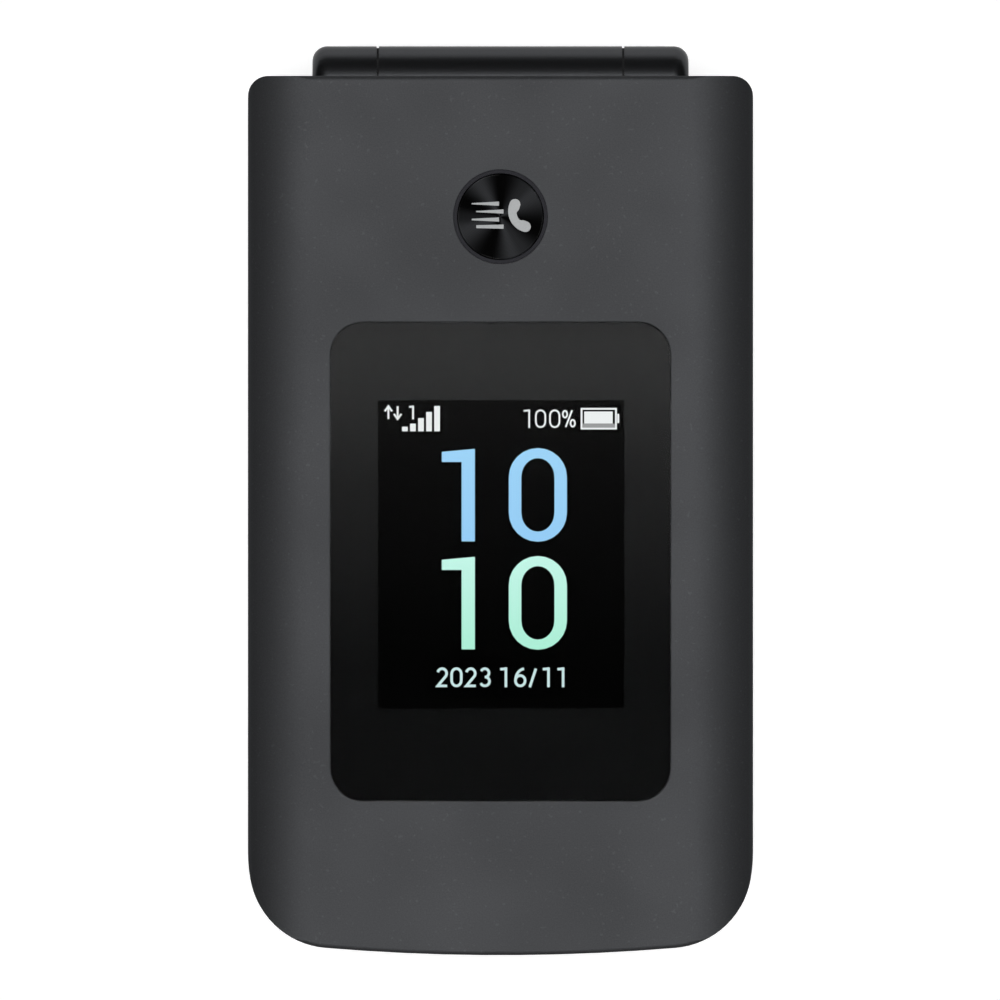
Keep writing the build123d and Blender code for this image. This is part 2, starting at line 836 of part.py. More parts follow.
with BuildPart() as hinge_cartridge:
    add(
        barrel(
            hinge_bore_radius - running_gap,
            -knuckle_x + running_gap,
            -knuckle_x + running_gap + cartridge_length,
        )
    )
    add(
        block(
            (cartridge_length, hinge_bore_radius + cartridge_key_height, cartridge_key_width),
            (-knuckle_x + running_gap, hinge_y, hinge_z - cartridge_key_width / 2),
        )
    )
    add(
        barrel(shaft_radius + running_gap, -knuckle_x, -ear_x + shaft_reach + fit_gap),
        mode=Mode.SUBTRACT,
    )
write(hinge_cartridge, "hinge_cartridge")

head_far_x = -barrel_x + ear_end_wall + running_gap

with BuildPart() as hinge_shaft:
    flats = block(
        (barrel_x, 4 * hinge_bore_radius, shaft_head_flat),
        (-barrel_x, hinge_y - 2 * hinge_bore_radius, hinge_z - shaft_head_flat / 2),
    )
    add(barrel(hinge_bore_radius - running_gap, head_far_x, -ear_x - running_gap) & flats)
    add(barrel(shaft_radius, -ear_x - running_gap, -ear_x + shaft_reach))
write(hinge_shaft, "hinge_shaft")

with BuildPart() as hinge_bushing:
    bushing_low_x = knuckle_x - bushing_reach
    add(barrel(hinge_bore_radius - running_gap, bushing_low_x, -head_far_x))
    add(
        barrel(hinge_bore_radius - running_gap - bushing_wall, bushing_low_x, -head_far_x),
        mode=Mode.SUBTRACT,
    )
write(hinge_bushing, "hinge_bushing")

# Ribbon that leaves the lid, rolls up inside the knuckle and passes on through the bushing.
with BuildPart() as display_flex:
    flex_top = hinge_z + flex_coil_radius
    with BuildSketch(Plane.YZ.offset(flex_x)):
        with BuildLine():
            tail = Line((flex_end_y, flex_top), (hinge_y, flex_top))
            JernArc(tail @ 1, (1, 0), flex_coil_radius, -270)
        trace(line_width=flex_thickness)
    extrude(amount=flex_width)
    add(
        block(
            (flex_coil_radius / 4, flex_coil_radius, flex_thickness),
            (flex_x, hinge_y - flex_coil_radius, hinge_z),
        )
    )
    add(barrel(flex_core_radius, flex_x, barrel_x - 2 * ear_end_wall))
    add(
        block(
            (flex_width, flex_plug_length, lid_board_low_z - flush_gap - flex_top),
            (flex_x, flex_end_y, flex_top),
        )
    )
write(display_flex, "display_flex")

# ================================ base shells ================================

key_flange_top_z = face_low_z - running_gap
nav_top_z = base_thickness - nav_sink
nav_low_z = nav_top_z - nav_thickness
nav_flange_top_z = face_low_z - nav_flange_gap
ok_hole_width = ok_width + 2 * ok_gap
ok_hole_length = ok_length + 2 * ok_gap
post_radius = screw_head_radius + screw_head_gap + post_wall
antenna_low_x = usb_width / 2 + antenna_usb_gap
antenna_width = half_width - base_screw_corner_gap - post_radius - antenna_post_gap - antenna_low_x
antenna_x = antenna_low_x + antenna_width / 2
boss_radius = screw_radius + boss_wall
post_top_z = ceiling_top_z
mat_foot_y = digit_foot_y - digit_length / 2 - mat_border
mat_end_y = nav_y + nav_size / 2 + mat_border
usb_y = foot_y + base_inset + usb_recess
usb_top_z = board_low_z - flush_gap
usb_z = usb_top_z - usb_height / 2
sim_low_z = board_low_z - flush_gap - sim_height
battery_low_z = door_thickness + door_gap
battery_top_z = sim_low_z - door_gap
rocker_side_x = -base_half_width - rocker_proud
rocker_flange_x = -base_half_width + wall + rocker_flange_gap
tab_places = [
    (side * tab_pitch / 2, y)
    for side in (-1, 1)
    for y in (door_foot_y + tab_thickness, door_end_y - tab_thickness)
]

with BuildPart() as base_front_cover:
    add(base_outside & layer(base_seam_z + seam_gap, base_thickness))
    add(
        base_inside & slab(plan(0, cavity_end_y), 0, face_low_z),
        mode=Mode.SUBTRACT,
    )
    add(
        seam_ring(base_inset, -fit_gap / 2, base_seam_z, base_seam_z + tongue_height + fit_gap),
        mode=Mode.SUBTRACT,
    )
    add(middle_pocket, mode=Mode.SUBTRACT)
    # Openings of the keypad.
    with BuildSketch(Plane.XY.offset(base_thickness)):
        with Locations(*digit_places.values()):
            RectangleRounded(digit_width + 2 * key_gap, digit_length + 2 * key_gap, digit_radius + key_gap)
        with Locations(*side_places.values()):
            RectangleRounded(
                side_key_width + 2 * key_gap, side_key_length + 2 * key_gap, side_key_radius + key_gap
            )
        with Locations((0, nav_y)):
            RectangleRounded(nav_size + 2 * nav_gap, nav_size + 2 * nav_gap, nav_radius + nav_gap)
    extrude(amount=-face_skin, mode=Mode.SUBTRACT)
    # Screw bosses with their pilot holes.
    for place in base_screw_places:
        add(post(boss_radius, post_top_z + flush_gap, face_low_z, place))
        add(
            post(screw_radius + screw_pilot_gap, post_top_z, base_screw_seat + base_screw_length, place),
            mode=Mode.SUBTRACT,
        )
    # Tube that leads sound from the face to the microphone.
    add(post(mic_length / 2, board_top_z + mic_height + flush_gap, face_low_z, (mic_x, mic_y)))
    add(post(mic_hole_radius, board_top_z + mic_height, base_thickness, (mic_x, mic_y)), mode=Mode.SUBTRACT)
    # Hinge ears: rounded at their far ends, bored through their near ends.
    for side in (-1, 1):
        ear = barrel(barrel_radius, *sorted((side * ear_x, side * barrel_x)))
        far_rim = ear.faces().sort_by(Axis.X)[-1 if side > 0 else 0].edges()
        add(ear.fillet(barrel_end_radius, far_rim))
        # Collar that closes the gap beside the knuckle.
        near_x, rim_x = sorted((side * (knuckle_x + running_gap), side * ear_x))
        add(barrel(barrel_radius - collar_step, near_x, rim_x))
    add(barrel(hinge_bore_radius, -ear_x, -knuckle_x), mode=Mode.SUBTRACT)
    add(
        barrel(hinge_bore_radius, head_far_x - running_gap, -ear_x)
        & block(
            (barrel_x, 4 * hinge_bore_radius, shaft_head_flat + 2 * running_gap),
            (-barrel_x, hinge_y - 2 * hinge_bore_radius, hinge_z - shaft_head_flat / 2 - running_gap),
        ),
        mode=Mode.SUBTRACT,
    )
    add(barrel(hinge_bore_radius, knuckle_x, -head_far_x + running_gap), mode=Mode.SUBTRACT)
write(base_front_cover, "base_front_cover")

with BuildPart() as base_rear_cover:
    add(base_outside & layer(0, base_seam_z))
    # Room for the board over the battery bay, and the deep room at the hinge end and the foot.
    add(
        base_inside & slab(plan(0, cavity_end_y), ceiling_top_z, base_thickness),
        mode=Mode.SUBTRACT,
    )
    add(
        base_inside
        & slab(plan(0, cavity_end_y), wall, base_thickness)
        & block((2 * body_width, overall_length, base_thickness), (-body_width, deep_pocket_y, wall)),
        mode=Mode.SUBTRACT,
    )
    add(
        base_inside
        & block(
            (2 * body_width, overall_length, base_thickness),
            (-body_width, bay_foot_y - bay_wall - overall_length, battery_low_z + foot_floor),
        ),
        mode=Mode.SUBTRACT,
    )
    for side in (-1, 1):
        low_x, high_x = sorted((side * (bay_width / 2 + wall), side * base_half_width))
        add(
            base_inside
            & block(
                (high_x - low_x, deep_pocket_y + wall - bay_foot_y, base_thickness),
                (low_x, bay_foot_y, wall),
            ),
            mode=Mode.SUBTRACT,
        )
    add(seam_ring(base_inset, fit_gap / 2, base_seam_z - fit_gap, base_seam_z + tongue_height))
    add(barrel_pocket, mode=Mode.SUBTRACT)
    # Recess of the battery door with its finger notch, and the battery bay above it.
    add(
        pad(
            door_width + 2 * door_gap, door_length + 2 * door_gap, door_radius + door_gap,
            0, battery_low_z, (0, door_y),
        ),
        mode=Mode.SUBTRACT,
    )
    add(
        pad(bay_width, bay_length, battery_edge_radius, 0, ceiling_low_z, (0, battery_y)),
        mode=Mode.SUBTRACT,
    )
    # Finger notch, slots for the door's tabs, windows for the SIM holder and the contacts.
    add(post(door_notch_radius, 0, door_notch_depth, (0, door_end_y)), mode=Mode.SUBTRACT)
    for x, y in tab_places:
        size = (tab_width + 2 * fit_gap, tab_thickness + 2 * fit_gap, tab_height + 2 * fit_gap)
        low = (x - size[0] / 2, y - size[1] / 2, door_thickness)
        add(block(size, low), mode=Mode.SUBTRACT)
    add(
        pad(sim_width + battery_gap, sim_length + battery_gap, fit_gap, sim_low_z, base_seam_z, (0, sim_y)),
        mode=Mode.SUBTRACT,
    )
    add(
        block(
            (contacts_width + 2 * fit_gap, contacts_length + battery_gap, base_seam_z - contacts_low_z),
            (-contacts_width / 2 - fit_gap, bay_end_y - fit_gap, contacts_low_z - fit_gap),
        ),
        mode=Mode.SUBTRACT,
    )
    # Screw posts: each takes a screw from the back.
    for place in base_screw_places:
        add(post(post_radius, battery_low_z, post_top_z, place))
        add(post(screw_hole_radius, 0, base_seam_z, place), mode=Mode.SUBTRACT)
        add(post(screw_head_radius + screw_head_gap, 0, base_screw_seat, place), mode=Mode.SUBTRACT)
    # Opening of the charging port.
    with BuildSketch(Plane.XZ.offset(-foot_y)):
        with Locations((0, usb_z)):
            RectangleRounded(usb_width + 2 * usb_gap, usb_height + 2 * usb_gap, usb_height / 2)
    extrude(amount=-3 * wall, mode=Mode.SUBTRACT)
    # Opening of the volume rocker.
    add(
        block(
            (2 * wall + base_inset, rocker_length + 2 * rocker_gap, rocker_height + 2 * rocker_gap),
            (
                -half_width,
                rocker_y - rocker_length / 2 - rocker_gap,
                rocker_z - rocker_height / 2 - rocker_gap,
            ),
        ),
        mode=Mode.SUBTRACT,
    )
    # Loudspeaker: slots through the back and a low frame around its seat.
    add(
        pad(
            speaker_width + 2 * (seat_gap + seat_wall),
            speaker_length + 2 * (seat_gap + seat_wall),
            seat_wall,
            wall - flush_gap, wall + seat_height, (speaker_x, speaker_y),
        )
        - pad(
            speaker_width + 2 * seat_gap, speaker_length + 2 * seat_gap, fit_gap,
            wall, base_thickness, (speaker_x, speaker_y),
        )
    )
    with BuildSketch(Plane.XY):
        with Locations((speaker_x, speaker_y)):
            with GridLocations(grille_pitch, 0, grille_slots, 1):
                SlotOverall(grille_slot_length, grille_slot_width, rotation=90)
    extrude(amount=wall, mode=Mode.SUBTRACT)
    # Camera: pocket for its window and a hole for its barrel.
    add(
        post(
            camera_window_radius + fit_gap,
            0,
            camera_window_thickness + 2 * flush_gap,
            (camera_x, camera_y),
        ),
        mode=Mode.SUBTRACT,
    )
    add(post(camera_barrel_radius + battery_gap, 0, wall, (camera_x, camera_y)), mode=Mode.SUBTRACT)
write(base_rear_cover, "base_rear_cover")

# ================================= back side =================================

with BuildPart() as battery_door:
    add(pad(door_width, door_length, door_radius, 0, door_thickness, (0, door_y)))
    for x, y in tab_places:
        size = (tab_width, tab_thickness, tab_height)
        add(block(size, (x - tab_width / 2, y - tab_thickness / 2, door_thickness)))
write(battery_door, "battery_door")

with BuildPart() as battery:
    add(
        pad(
            battery_width, battery_length, battery_edge_radius, battery_low_z, battery_top_z, (0, battery_y),
        )
    )
    fillet(battery.edges().filter_by(Axis.Y), battery_edge_radius / 2)
write(battery, "battery")

with BuildPart() as battery_contacts:
    add(
        block(
            (contacts_width, contacts_length, board_low_z - flush_gap - contacts_low_z),
            (-contacts_width / 2, bay_end_y + flush_gap, contacts_low_z),
        )
    )
    for place in (-1, 0, 1):
        add(
            block(
                (contact_width, battery_gap, contact_width),
                (
                    place * contacts_width / 3 - contact_width / 2,
                    bay_end_y + flush_gap - battery_gap * 2 / 3,
                    (battery_low_z + battery_top_z - contact_width) / 2,
                ),
            )
        )
write(battery_contacts, "battery_contacts")

with BuildPart() as base_screws:
    for place in base_screw_places:
        add(post(screw_head_radius, base_screw_seat - screw_head_thickness, base_screw_seat, place))
        add(post(screw_radius, base_screw_seat, base_screw_seat + base_screw_length, place))
write(base_screws, "base_screws")

with BuildPart() as camera_window:
    with BuildSketch(Plane.XY.offset(flush_gap)):
        with Locations((camera_x, camera_y)):
            Circle(camera_window_radius)
    extrude(amount=camera_window_thickness)
write(camera_window, "camera_window")

with BuildPart() as camera_module:
    with BuildSketch(Plane.XY.offset(camera_body_low)):
        with Locations((camera_x, camera_y)):
            Rectangle(camera_size, camera_size)
    extrude(amount=board_low_z - flush_gap - camera_body_low)
    with BuildSketch(Plane.XY.offset(camera_body_low)):
        with Locations((camera_x, camera_y)):
            Circle(camera_barrel_radius)
    extrude(amount=-(camera_body_low - camera_window_thickness - 3 * flush_gap))
write(camera_module, "camera_module")

with BuildPart() as loudspeaker:
    with BuildSketch(Plane.XY.offset(wall + flush_gap)):
        with Locations((speaker_x, speaker_y)):
            RectangleRounded(speaker_width, speaker_length, seat_wall)
    extrude(amount=speaker_height)
write(loudspeaker, "loudspeaker")

# ================================== board ==================================

with BuildPart() as main_board:
    with BuildSketch(Plane.XY.offset(board_low_z)):
        add(plan(base_inset + wall + board_gap, cavity_end_y - board_gap))
        with Locations(*[place for place in base_screw_places if place[1] < 0]):
            Circle(boss_radius + boss_clearance, mode=Mode.SUBTRACT)
        for side in (-1, 1):
            with Locations((side * base_half_width, cavity_end_y)):
                Rectangle(
                    2 * (base_screw_side_gap - base_inset + boss_radius + boss_clearance),
                    2 * (base_screw_end_gap + boss_radius + boss_clearance),
                    mode=Mode.SUBTRACT,
                )
        with Locations((-base_half_width + wall, rocker_y)):
            Rectangle(
                2 * (rocker_notch_depth + board_gap), rocker_length + 2 * (rocker_flange + board_gap),
                mode=Mode.SUBTRACT,
            )
    extrude(amount=board_thickness)
    # The two switches that the volume rocker works.
    for side in (-1, 1):
        add(
            block(
                (side_switch_depth, side_switch_length, side_switch_height),
                (
                    rocker_flange_x + rocker_flange_thickness + rocker_flange_gap,
                    rocker_y + side * side_switch_spread - side_switch_length / 2,
                    board_low_z - side_switch_height,
                ),
            )
        )
write(main_board, "main_board")

with BuildPart() as shield_cans:
    with BuildSketch(Plane.XY.offset(board_low_z - flush_gap)):
        with Locations((can_x, can_y)):
            RectangleRounded(can_width, can_length, seat_wall)
    extrude(amount=-can_height)
write(shield_cans, "shield_cans")

with BuildPart() as sim_holder:
    with BuildSketch(Plane.XY.offset(sim_low_z)):
        with Locations((0, sim_y)):
            Rectangle(sim_width, sim_length)
    extrude(amount=sim_height)
    with BuildSketch(Plane.XY.offset(sim_low_z)):
        with Locations((0, sim_y)):
            Rectangle(sim_width * 0.6, sim_length * 0.5)
    extrude(amount=sim_height / 3, mode=Mode.SUBTRACT)
write(sim_holder, "sim_holder")

with BuildPart() as usb_connector:
    with BuildSketch(Plane.XZ.offset(-usb_y)):
        with Locations((0, usb_z)):
            SlotOverall(usb_width, usb_height)
    extrude(amount=-usb_depth)
    with BuildSketch(Plane.XZ.offset(-usb_y)):
        with Locations((0, usb_z)):
            SlotOverall(usb_width - 2 * usb_shell, usb_height - 2 * usb_shell)
    extrude(amount=-(usb_depth - usb_shell), mode=Mode.SUBTRACT)
    with BuildSketch(Plane.XZ.offset(-usb_y - 2 * usb_shell)):
        with Locations((0, usb_z)):
            Rectangle(usb_tongue_width, usb_tongue_thickness)
    extrude(amount=-(usb_depth - 3 * usb_shell))
write(usb_connector, "usb_connector")

with BuildPart() as vibration_motor:
    with BuildSketch(Plane.XY.offset(board_low_z - flush_gap)):
        with Locations((motor_x, motor_y)):
            Circle(motor_radius)
    extrude(amount=-motor_height)
write(vibration_motor, "vibration_motor")

with BuildPart() as microphone:
    with BuildSketch(Plane.XY.offset(board_top_z)):
        with Locations((mic_x, mic_y)):
            Rectangle(mic_width, mic_length)
    extrude(amount=mic_height)
write(microphone, "microphone")

with BuildPart() as antenna_carrier:
    with BuildSketch(Plane.XY.offset(board_low_z - flush_gap)):
        with Locations((antenna_x, antenna_y)):
            RectangleRounded(antenna_width, antenna_length, seat_wall)
    extrude(amount=-antenna_height)
write(antenna_carrier, "antenna_carrier")

with BuildPart() as volume_rocker:
    add(
        block(
            (rocker_flange_x - rocker_side_x, rocker_length, rocker_height),
            (rocker_side_x, rocker_y - rocker_length / 2, rocker_z - rocker_height / 2),
        )
    )
    fillet(volume_rocker.faces().sort_by(Axis.X)[0].edges(), rocker_proud - flush_gap)
    add(
        block(
            (rocker_flange_thickness, rocker_length + 2 * rocker_flange, rocker_height + 2 * rocker_flange),
            (
                rocker_flange_x,
                rocker_y - rocker_length / 2 - rocker_flange,
                rocker_z - rocker_height / 2 - rocker_flange,
            ),
        )
    )
write(volume_rocker, "volume_rocker")

# ================================== keypad ==================================

for name, place in digit_places.items():
    with BuildPart() as dial_key:
        add(
            soften_top(
                pad(digit_width, digit_length, digit_radius, key_low_z, key_top_z, place), key_edge_radius
            )
        )
        add(
            pad(
                digit_width + 2 * key_flange, digit_length + 2 * key_flange, digit_radius + key_flange,
                key_low_z, key_flange_top_z, place,
            )
        )
        if name == "key_5":
            # Two raised dots that mark the middle key for the thumb.
            for side in (-1, 1):
                x = side * (digit_width / 2 - nib_spacing / 2)
                add(post(nib_radius, key_top_z, key_top_z + nib_height, (x, place[1])))
    write(dial_key, name)

for name, place in side_places.items():
    with BuildPart() as side_key:
        add(
            soften_top(
                pad(side_key_width, side_key_length, side_key_radius, key_low_z, key_top_z, place),
                key_edge_radius,
            )
        )
        add(
            pad(
                side_key_width + 2 * key_flange,
                side_key_length + 2 * key_flange,
                side_key_radius + key_flange,
                key_low_z, key_flange_top_z, place,
            )
        )
    write(side_key, name)

with BuildPart() as ok_key:
    add(soften_top(pad(ok_width, ok_length, ok_radius, key_low_z, key_top_z, (0, nav_y)), key_edge_radius))
write(ok_key, "ok_key")

with BuildPart() as nav_ring:
    add(soften_top(pad(nav_size, nav_size, nav_radius, nav_low_z, nav_top_z, (0, nav_y)), nav_edge_radius))
    add(
        pad(
            nav_size + 2 * key_flange, nav_size + 2 * key_flange, nav_radius + key_flange,
            nav_low_z, nav_flange_top_z, (0, nav_y),
        )
    )
    add(
        pad(ok_hole_width, ok_hole_length, ok_radius + ok_gap, nav_low_z, nav_top_z, (0, nav_y)),
        mode=Mode.SUBTRACT,
    )
write(nav_ring, "nav_ring")

with BuildPart() as nav_actuator:
    with BuildSketch(Plane.XY.offset(nav_low_z - rocker_plate_gap)):
        with Locations((0, nav_y)):
            RectangleRounded(rocker_plate_size, rocker_plate_size, nav_radius / 2)
            RectangleRounded(ok_hole_width, ok_hole_length, ok_radius + ok_gap, mode=Mode.SUBTRACT)
    extrude(amount=-rocker_plate_thickness)
write(nav_actuator, "nav_actuator")

mat_length = mat_end_y - mat_foot_y
mat_width = 2 * (half_width - mat_inset)
mat_y = (mat_end_y + mat_foot_y) / 2

with BuildPart() as keypad_mat:
    with BuildSketch(Plane.XY.offset(mat_low_z)):
        with Locations((0, mat_y)):
            RectangleRounded(mat_width, mat_length, digit_radius)
    extrude(amount=mat_thickness)
    with BuildSketch(Plane.XY.offset(mat_low_z)):
        with Locations(*pressed_places, *nav_nubs):
            Circle(nub_radius)
    extrude(amount=-nub_height)
write(keypad_mat, "keypad_mat")

with BuildPart() as dome_sheet:
    with BuildSketch(Plane.XY.offset(board_top_z)):
        with Locations((0, mat_y)):
            RectangleRounded(mat_width, mat_length, digit_radius)
    extrude(amount=dome_sheet_thickness)
    with Locations(*[(x, y, dome_sheet_top_z) for x, y in (*pressed_places, *nav_nubs)]):
        Cone(
            dome_radius, dome_crown_radius, dome_height,
            align=(Align.CENTER, Align.CENTER, Align.MIN),
        )
write(dome_sheet, "dome_sheet")
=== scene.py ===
"""Looks of a folding mobile phone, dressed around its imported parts."""

import json
import logging
import math
from dataclasses import dataclass
from enum import Enum

import bpy
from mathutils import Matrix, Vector

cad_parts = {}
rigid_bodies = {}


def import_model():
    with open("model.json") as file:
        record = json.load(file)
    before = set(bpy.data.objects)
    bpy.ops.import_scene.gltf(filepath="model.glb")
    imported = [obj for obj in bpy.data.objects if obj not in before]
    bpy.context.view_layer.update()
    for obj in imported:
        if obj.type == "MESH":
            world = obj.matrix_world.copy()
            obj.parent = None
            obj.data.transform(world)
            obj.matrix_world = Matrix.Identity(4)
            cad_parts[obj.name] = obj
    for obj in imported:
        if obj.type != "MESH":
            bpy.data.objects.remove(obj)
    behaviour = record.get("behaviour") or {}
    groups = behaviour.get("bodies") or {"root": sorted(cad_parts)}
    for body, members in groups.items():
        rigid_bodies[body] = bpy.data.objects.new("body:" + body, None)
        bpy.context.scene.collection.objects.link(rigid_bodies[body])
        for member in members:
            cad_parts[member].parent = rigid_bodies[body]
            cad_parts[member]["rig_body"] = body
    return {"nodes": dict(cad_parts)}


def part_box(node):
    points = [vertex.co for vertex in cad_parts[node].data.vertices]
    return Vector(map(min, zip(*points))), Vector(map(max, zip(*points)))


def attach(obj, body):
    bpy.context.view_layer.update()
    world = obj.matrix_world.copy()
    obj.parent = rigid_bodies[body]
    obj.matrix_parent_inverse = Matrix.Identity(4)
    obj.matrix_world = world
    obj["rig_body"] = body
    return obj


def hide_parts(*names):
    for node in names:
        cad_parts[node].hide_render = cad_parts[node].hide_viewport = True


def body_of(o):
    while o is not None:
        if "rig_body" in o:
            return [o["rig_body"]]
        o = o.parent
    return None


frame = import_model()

log = logging.getLogger("phone")

MM = 0.001
Colour = tuple[float, float, float]
Point = tuple[float, float]
Span = tuple[float, float]
Path = list[Point]
Socket = bpy.types.NodeSocket
Feed = Socket | float | tuple[float, ...]
Material = bpy.types.Material
Piece = bpy.types.Object
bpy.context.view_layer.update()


class Body(Enum):
    """The moving bodies that dressed pieces ride on."""

    BASE = "base"
    LID = "lid"
    BUTTON = "quick_call_button"


def shade(red: int, green: int, blue: int) -> Colour:
    """Turns a screen colour of 0 to 255 into a linear one.

    Args:
        red: Red share.
        green: Green share.
        blue: Blue share.

    Returns:
        The linear colour.
    """
    parts = [c / 255 for c in (red, green, blue)]
    return tuple(c / 12.92 if c <= 0.04045 else ((c + 0.055) / 1.055) ** 2.4 for c in parts)


# finishes


class Nodes:
    """A node tree, with short ways to add and feed its nodes."""

    def __init__(self, tree: bpy.types.NodeTree) -> None:
        """Takes up a node tree."""
        self.nodes, self.links = tree.nodes, tree.links

    def feed(self, target: Socket, source: Feed) -> None:
        """Links a socket to its source, or sets it to a constant.

        Args:
            target: The socket.
            source: Its source, or a number, vector or colour.
        """
        if isinstance(source, Socket):
            self.links.new(source, target)
        else:
            target.default_value = (*source, 1.0) if target.type == "RGBA" else source

    def add(
        self, kind: str, feeds: dict[str | int, Feed] | None = None, **settings: object
    ) -> bpy.types.Node:
        """Adds a node, sets its own properties and feeds its sockets.

        Args:
            kind: The node's type without its "ShaderNode" prefix.
            feeds: Sources and constants by socket.
            settings: Properties of the node by name.

        Returns:
            The new node.
        """
        node = self.nodes.new("ShaderNode" + kind)
        for key, value in settings.items():
            setattr(node, key, value)
        for key, source in (feeds or {}).items():
            self.feed(node.inputs[key], source)
        return node

    def spread(
        self, source: Socket, low: float, high: float, start: float = 0.3, end: float = 0.7
    ) -> Socket:
        """Maps a factor from one range onto another.

        Args:
            source: The factor.
            low: Result at the start.
            high: Result at the end.
            start: Where the factor's range starts.
            end: Where it ends.

        Returns:
            The mapped factor.
        """
        feeds = {"Value": source, "From Min": start, "From Max": end, "To Min": low, "To Max": high}
        return self.add("MapRange", feeds).outputs["Result"]

    def combine(self, operation: str, first: Socket, second: Feed) -> Socket:
        """Works out one factor from two."""
        return self.add("Math", {0: first, 1: second}, operation=operation).outputs["Value"]

    def emission(self, **feeds: Feed) -> Socket:
        """Light that a surface gives off, with its strength or colour fed."""
        return self.add("Emission", feeds).outputs["Emission"]

    def seen(self) -> Socket:
        """Gives 1 for camera, glossy and transmission rays, and 0 for others.

        Returns:
            The factor.
        """
        ray = self.add("LightPath").outputs
        plain = self.combine("MAXIMUM", ray["Is Camera Ray"], ray["Is Glossy Ray"])
        return self.combine("MAXIMUM", plain, ray["Is Transmission Ray"])


class Shader(Nodes):
    """A material's nodes round one Principled surface."""

    def __init__(self, name: str) -> None:
        """Starts a material.

        Args:
            name: The material's name.
        """
        self.material = bpy.data.materials.new(f"look_{name}")
        self.material.use_nodes = True
        super().__init__(self.material.node_tree)
        self.surface = self.nodes["Principled BSDF"]
        self.place = self.add("TexCoord").outputs["Object"]

    def set(self, **feeds: Feed) -> None:
        """Feeds the surface's own sockets, named with underscores for spaces."""
        for key, source in feeds.items():
            self.feed(self.surface.inputs[key.replace("_", " ")], source)

    def whole(self, light: Socket) -> Material:
        """Makes one shader the whole material."""
        self.feed(self.nodes["Material Output"].inputs["Surface"], light)
        return self.material

    def moved(self, centre: Point, stretch: Colour = (1.0, 1.0, 1.0)) -> Socket:
        """Object coordinates centred on a point and stretched.

        Args:
            centre: The point in millimetres.
            stretch: Scale along X, Y and Z.

        Returns:
            The mapped coordinates.
        """
        shift = tuple(-c * MM * s for c, s in zip((*centre, 0.0), stretch))
        feeds = {"Vector": self.place, "Location": shift, "Scale": stretch}
        return self.add("Mapping", feeds).outputs["Vector"]

    def along(self, start: float, end: float) -> Socket:
        """Share of the way along Y between two places in millimetres."""
        split = self.add("SeparateXYZ", {"Vector": self.place})
        return self.spread(split.outputs["Y"], 0.0, 1.0, start * MM, end * MM)

    def noise(self, per_mm: float, detail: float = 2.0, place: Socket | None = None) -> Socket:
        """Noise on object coordinates.

        Args:
            per_mm: Blobs per millimetre.
            detail: Number of finer layers.
            place: Coordinates to use instead of the piece's own.

        Returns:
            The noise's factor.
        """
        feeds = {"Scale": per_mm / MM, "Detail": detail, "Vector": place or self.place}
        return self.add("TexNoise", feeds).outputs["Fac"]

    def ramp(self, source: Socket, stops: tuple[Point, ...], ends: Point, curve: str) -> Socket:
        """Grey levels along a factor.

        Args:
            source: The factor.
            stops: Place and level of each stop between the ends.
            ends: Levels at 0 and 1.
            curve: How levels between stops are worked out.

        Returns:
            The grey.
        """
        node = self.add("ValToRGB", {"Fac": source})
        node.color_ramp.interpolation = curve
        elements = node.color_ramp.elements
        for stop, level in zip(list(elements), ends):
            stop.color = (level, level, level, 1.0)
        for place, level in stops:
            elements.new(place).color = (level, level, level, 1.0)
        return node.outputs["Color"]

    def mix(self, first: Colour | Socket, second: Colour, factor: Socket) -> Socket:
        """Mixes two colours by the share of the second."""
        feeds = {"A": first, "B": second, "Factor": factor}
        return self.add("Mix", feeds, data_type="RGBA").outputs["Result"]

    def tint(
        self, colour: Colour, source: Socket, swing: float, flecks: Socket | None = None
    ) -> None:
        """Varies the base colour a little with a factor.

        Args:
            colour: The mean colour.
            source: The factor.
            swing: Share by which the colour goes up and down.
            flecks: Share of a fleck twice as bright, or none.
        """
        dark, light, bright = (tuple(c * k for c in colour) for k in (1 - swing, 1 + swing, 2.0))
        mixed = self.mix(dark, light, self.spread(source, 0.0, 1.0))
        if flecks is not None:
            mixed = self.mix(mixed, bright, flecks)
        self.set(Base_Color=mixed)

    def bump(self, source: Socket, depth: float, strength: float = 1.0) -> None:
        """Raises the surface by a factor, a full step being so many millimetres high."""
        feeds = {"Distance": depth * MM, "Strength": strength, "Height": source}
        self.set(Normal=self.add("Bump", feeds).outputs["Normal"])


@dataclass(frozen=True)
class Satin:
    """A painted or moulded surface with a fine grain."""

    name: str
    colour: Colour
    roughness: float = 0.5
    metallic: float = 0.0
    specular: float = 0.5
    grain: float = 5.0
    depth: float = 0.004
    swing: float = 0.08
    rim: float = 1.0
    fleck: float = 0.0
    fleck_grain: float = 2.6
    fleck_range: Span = (0.73, 0.84)

    def build(self) -> Material:
        """Makes the material.

        Returns:
            The material.
        """
        shader = Shader(self.name)
        grain, flecks = shader.noise(self.grain, 3.0), None
        if self.fleck:
            dust = shader.noise(self.fleck_grain, 0.0)
            flecks = shader.spread(dust, 0.0, self.fleck, *self.fleck_range)
        shader.tint(self.colour, grain, self.swing, flecks)
        shader.set(
            Metallic=self.metallic,
            Specular_IOR_Level=self.specular,
            Specular_Tint=(self.rim, self.rim, self.rim),
            Roughness=self.gloss(shader),
        )
        if self.depth:
            shader.bump(grain, self.depth)
        return shader.material

    def gloss(self, shader: Shader) -> Socket:
        """Roughness that drifts a little in wide clouds."""
        swing = min(0.03, self.roughness / 2)
        return shader.spread(shader.noise(0.06), self.roughness - swing, self.roughness + swing)


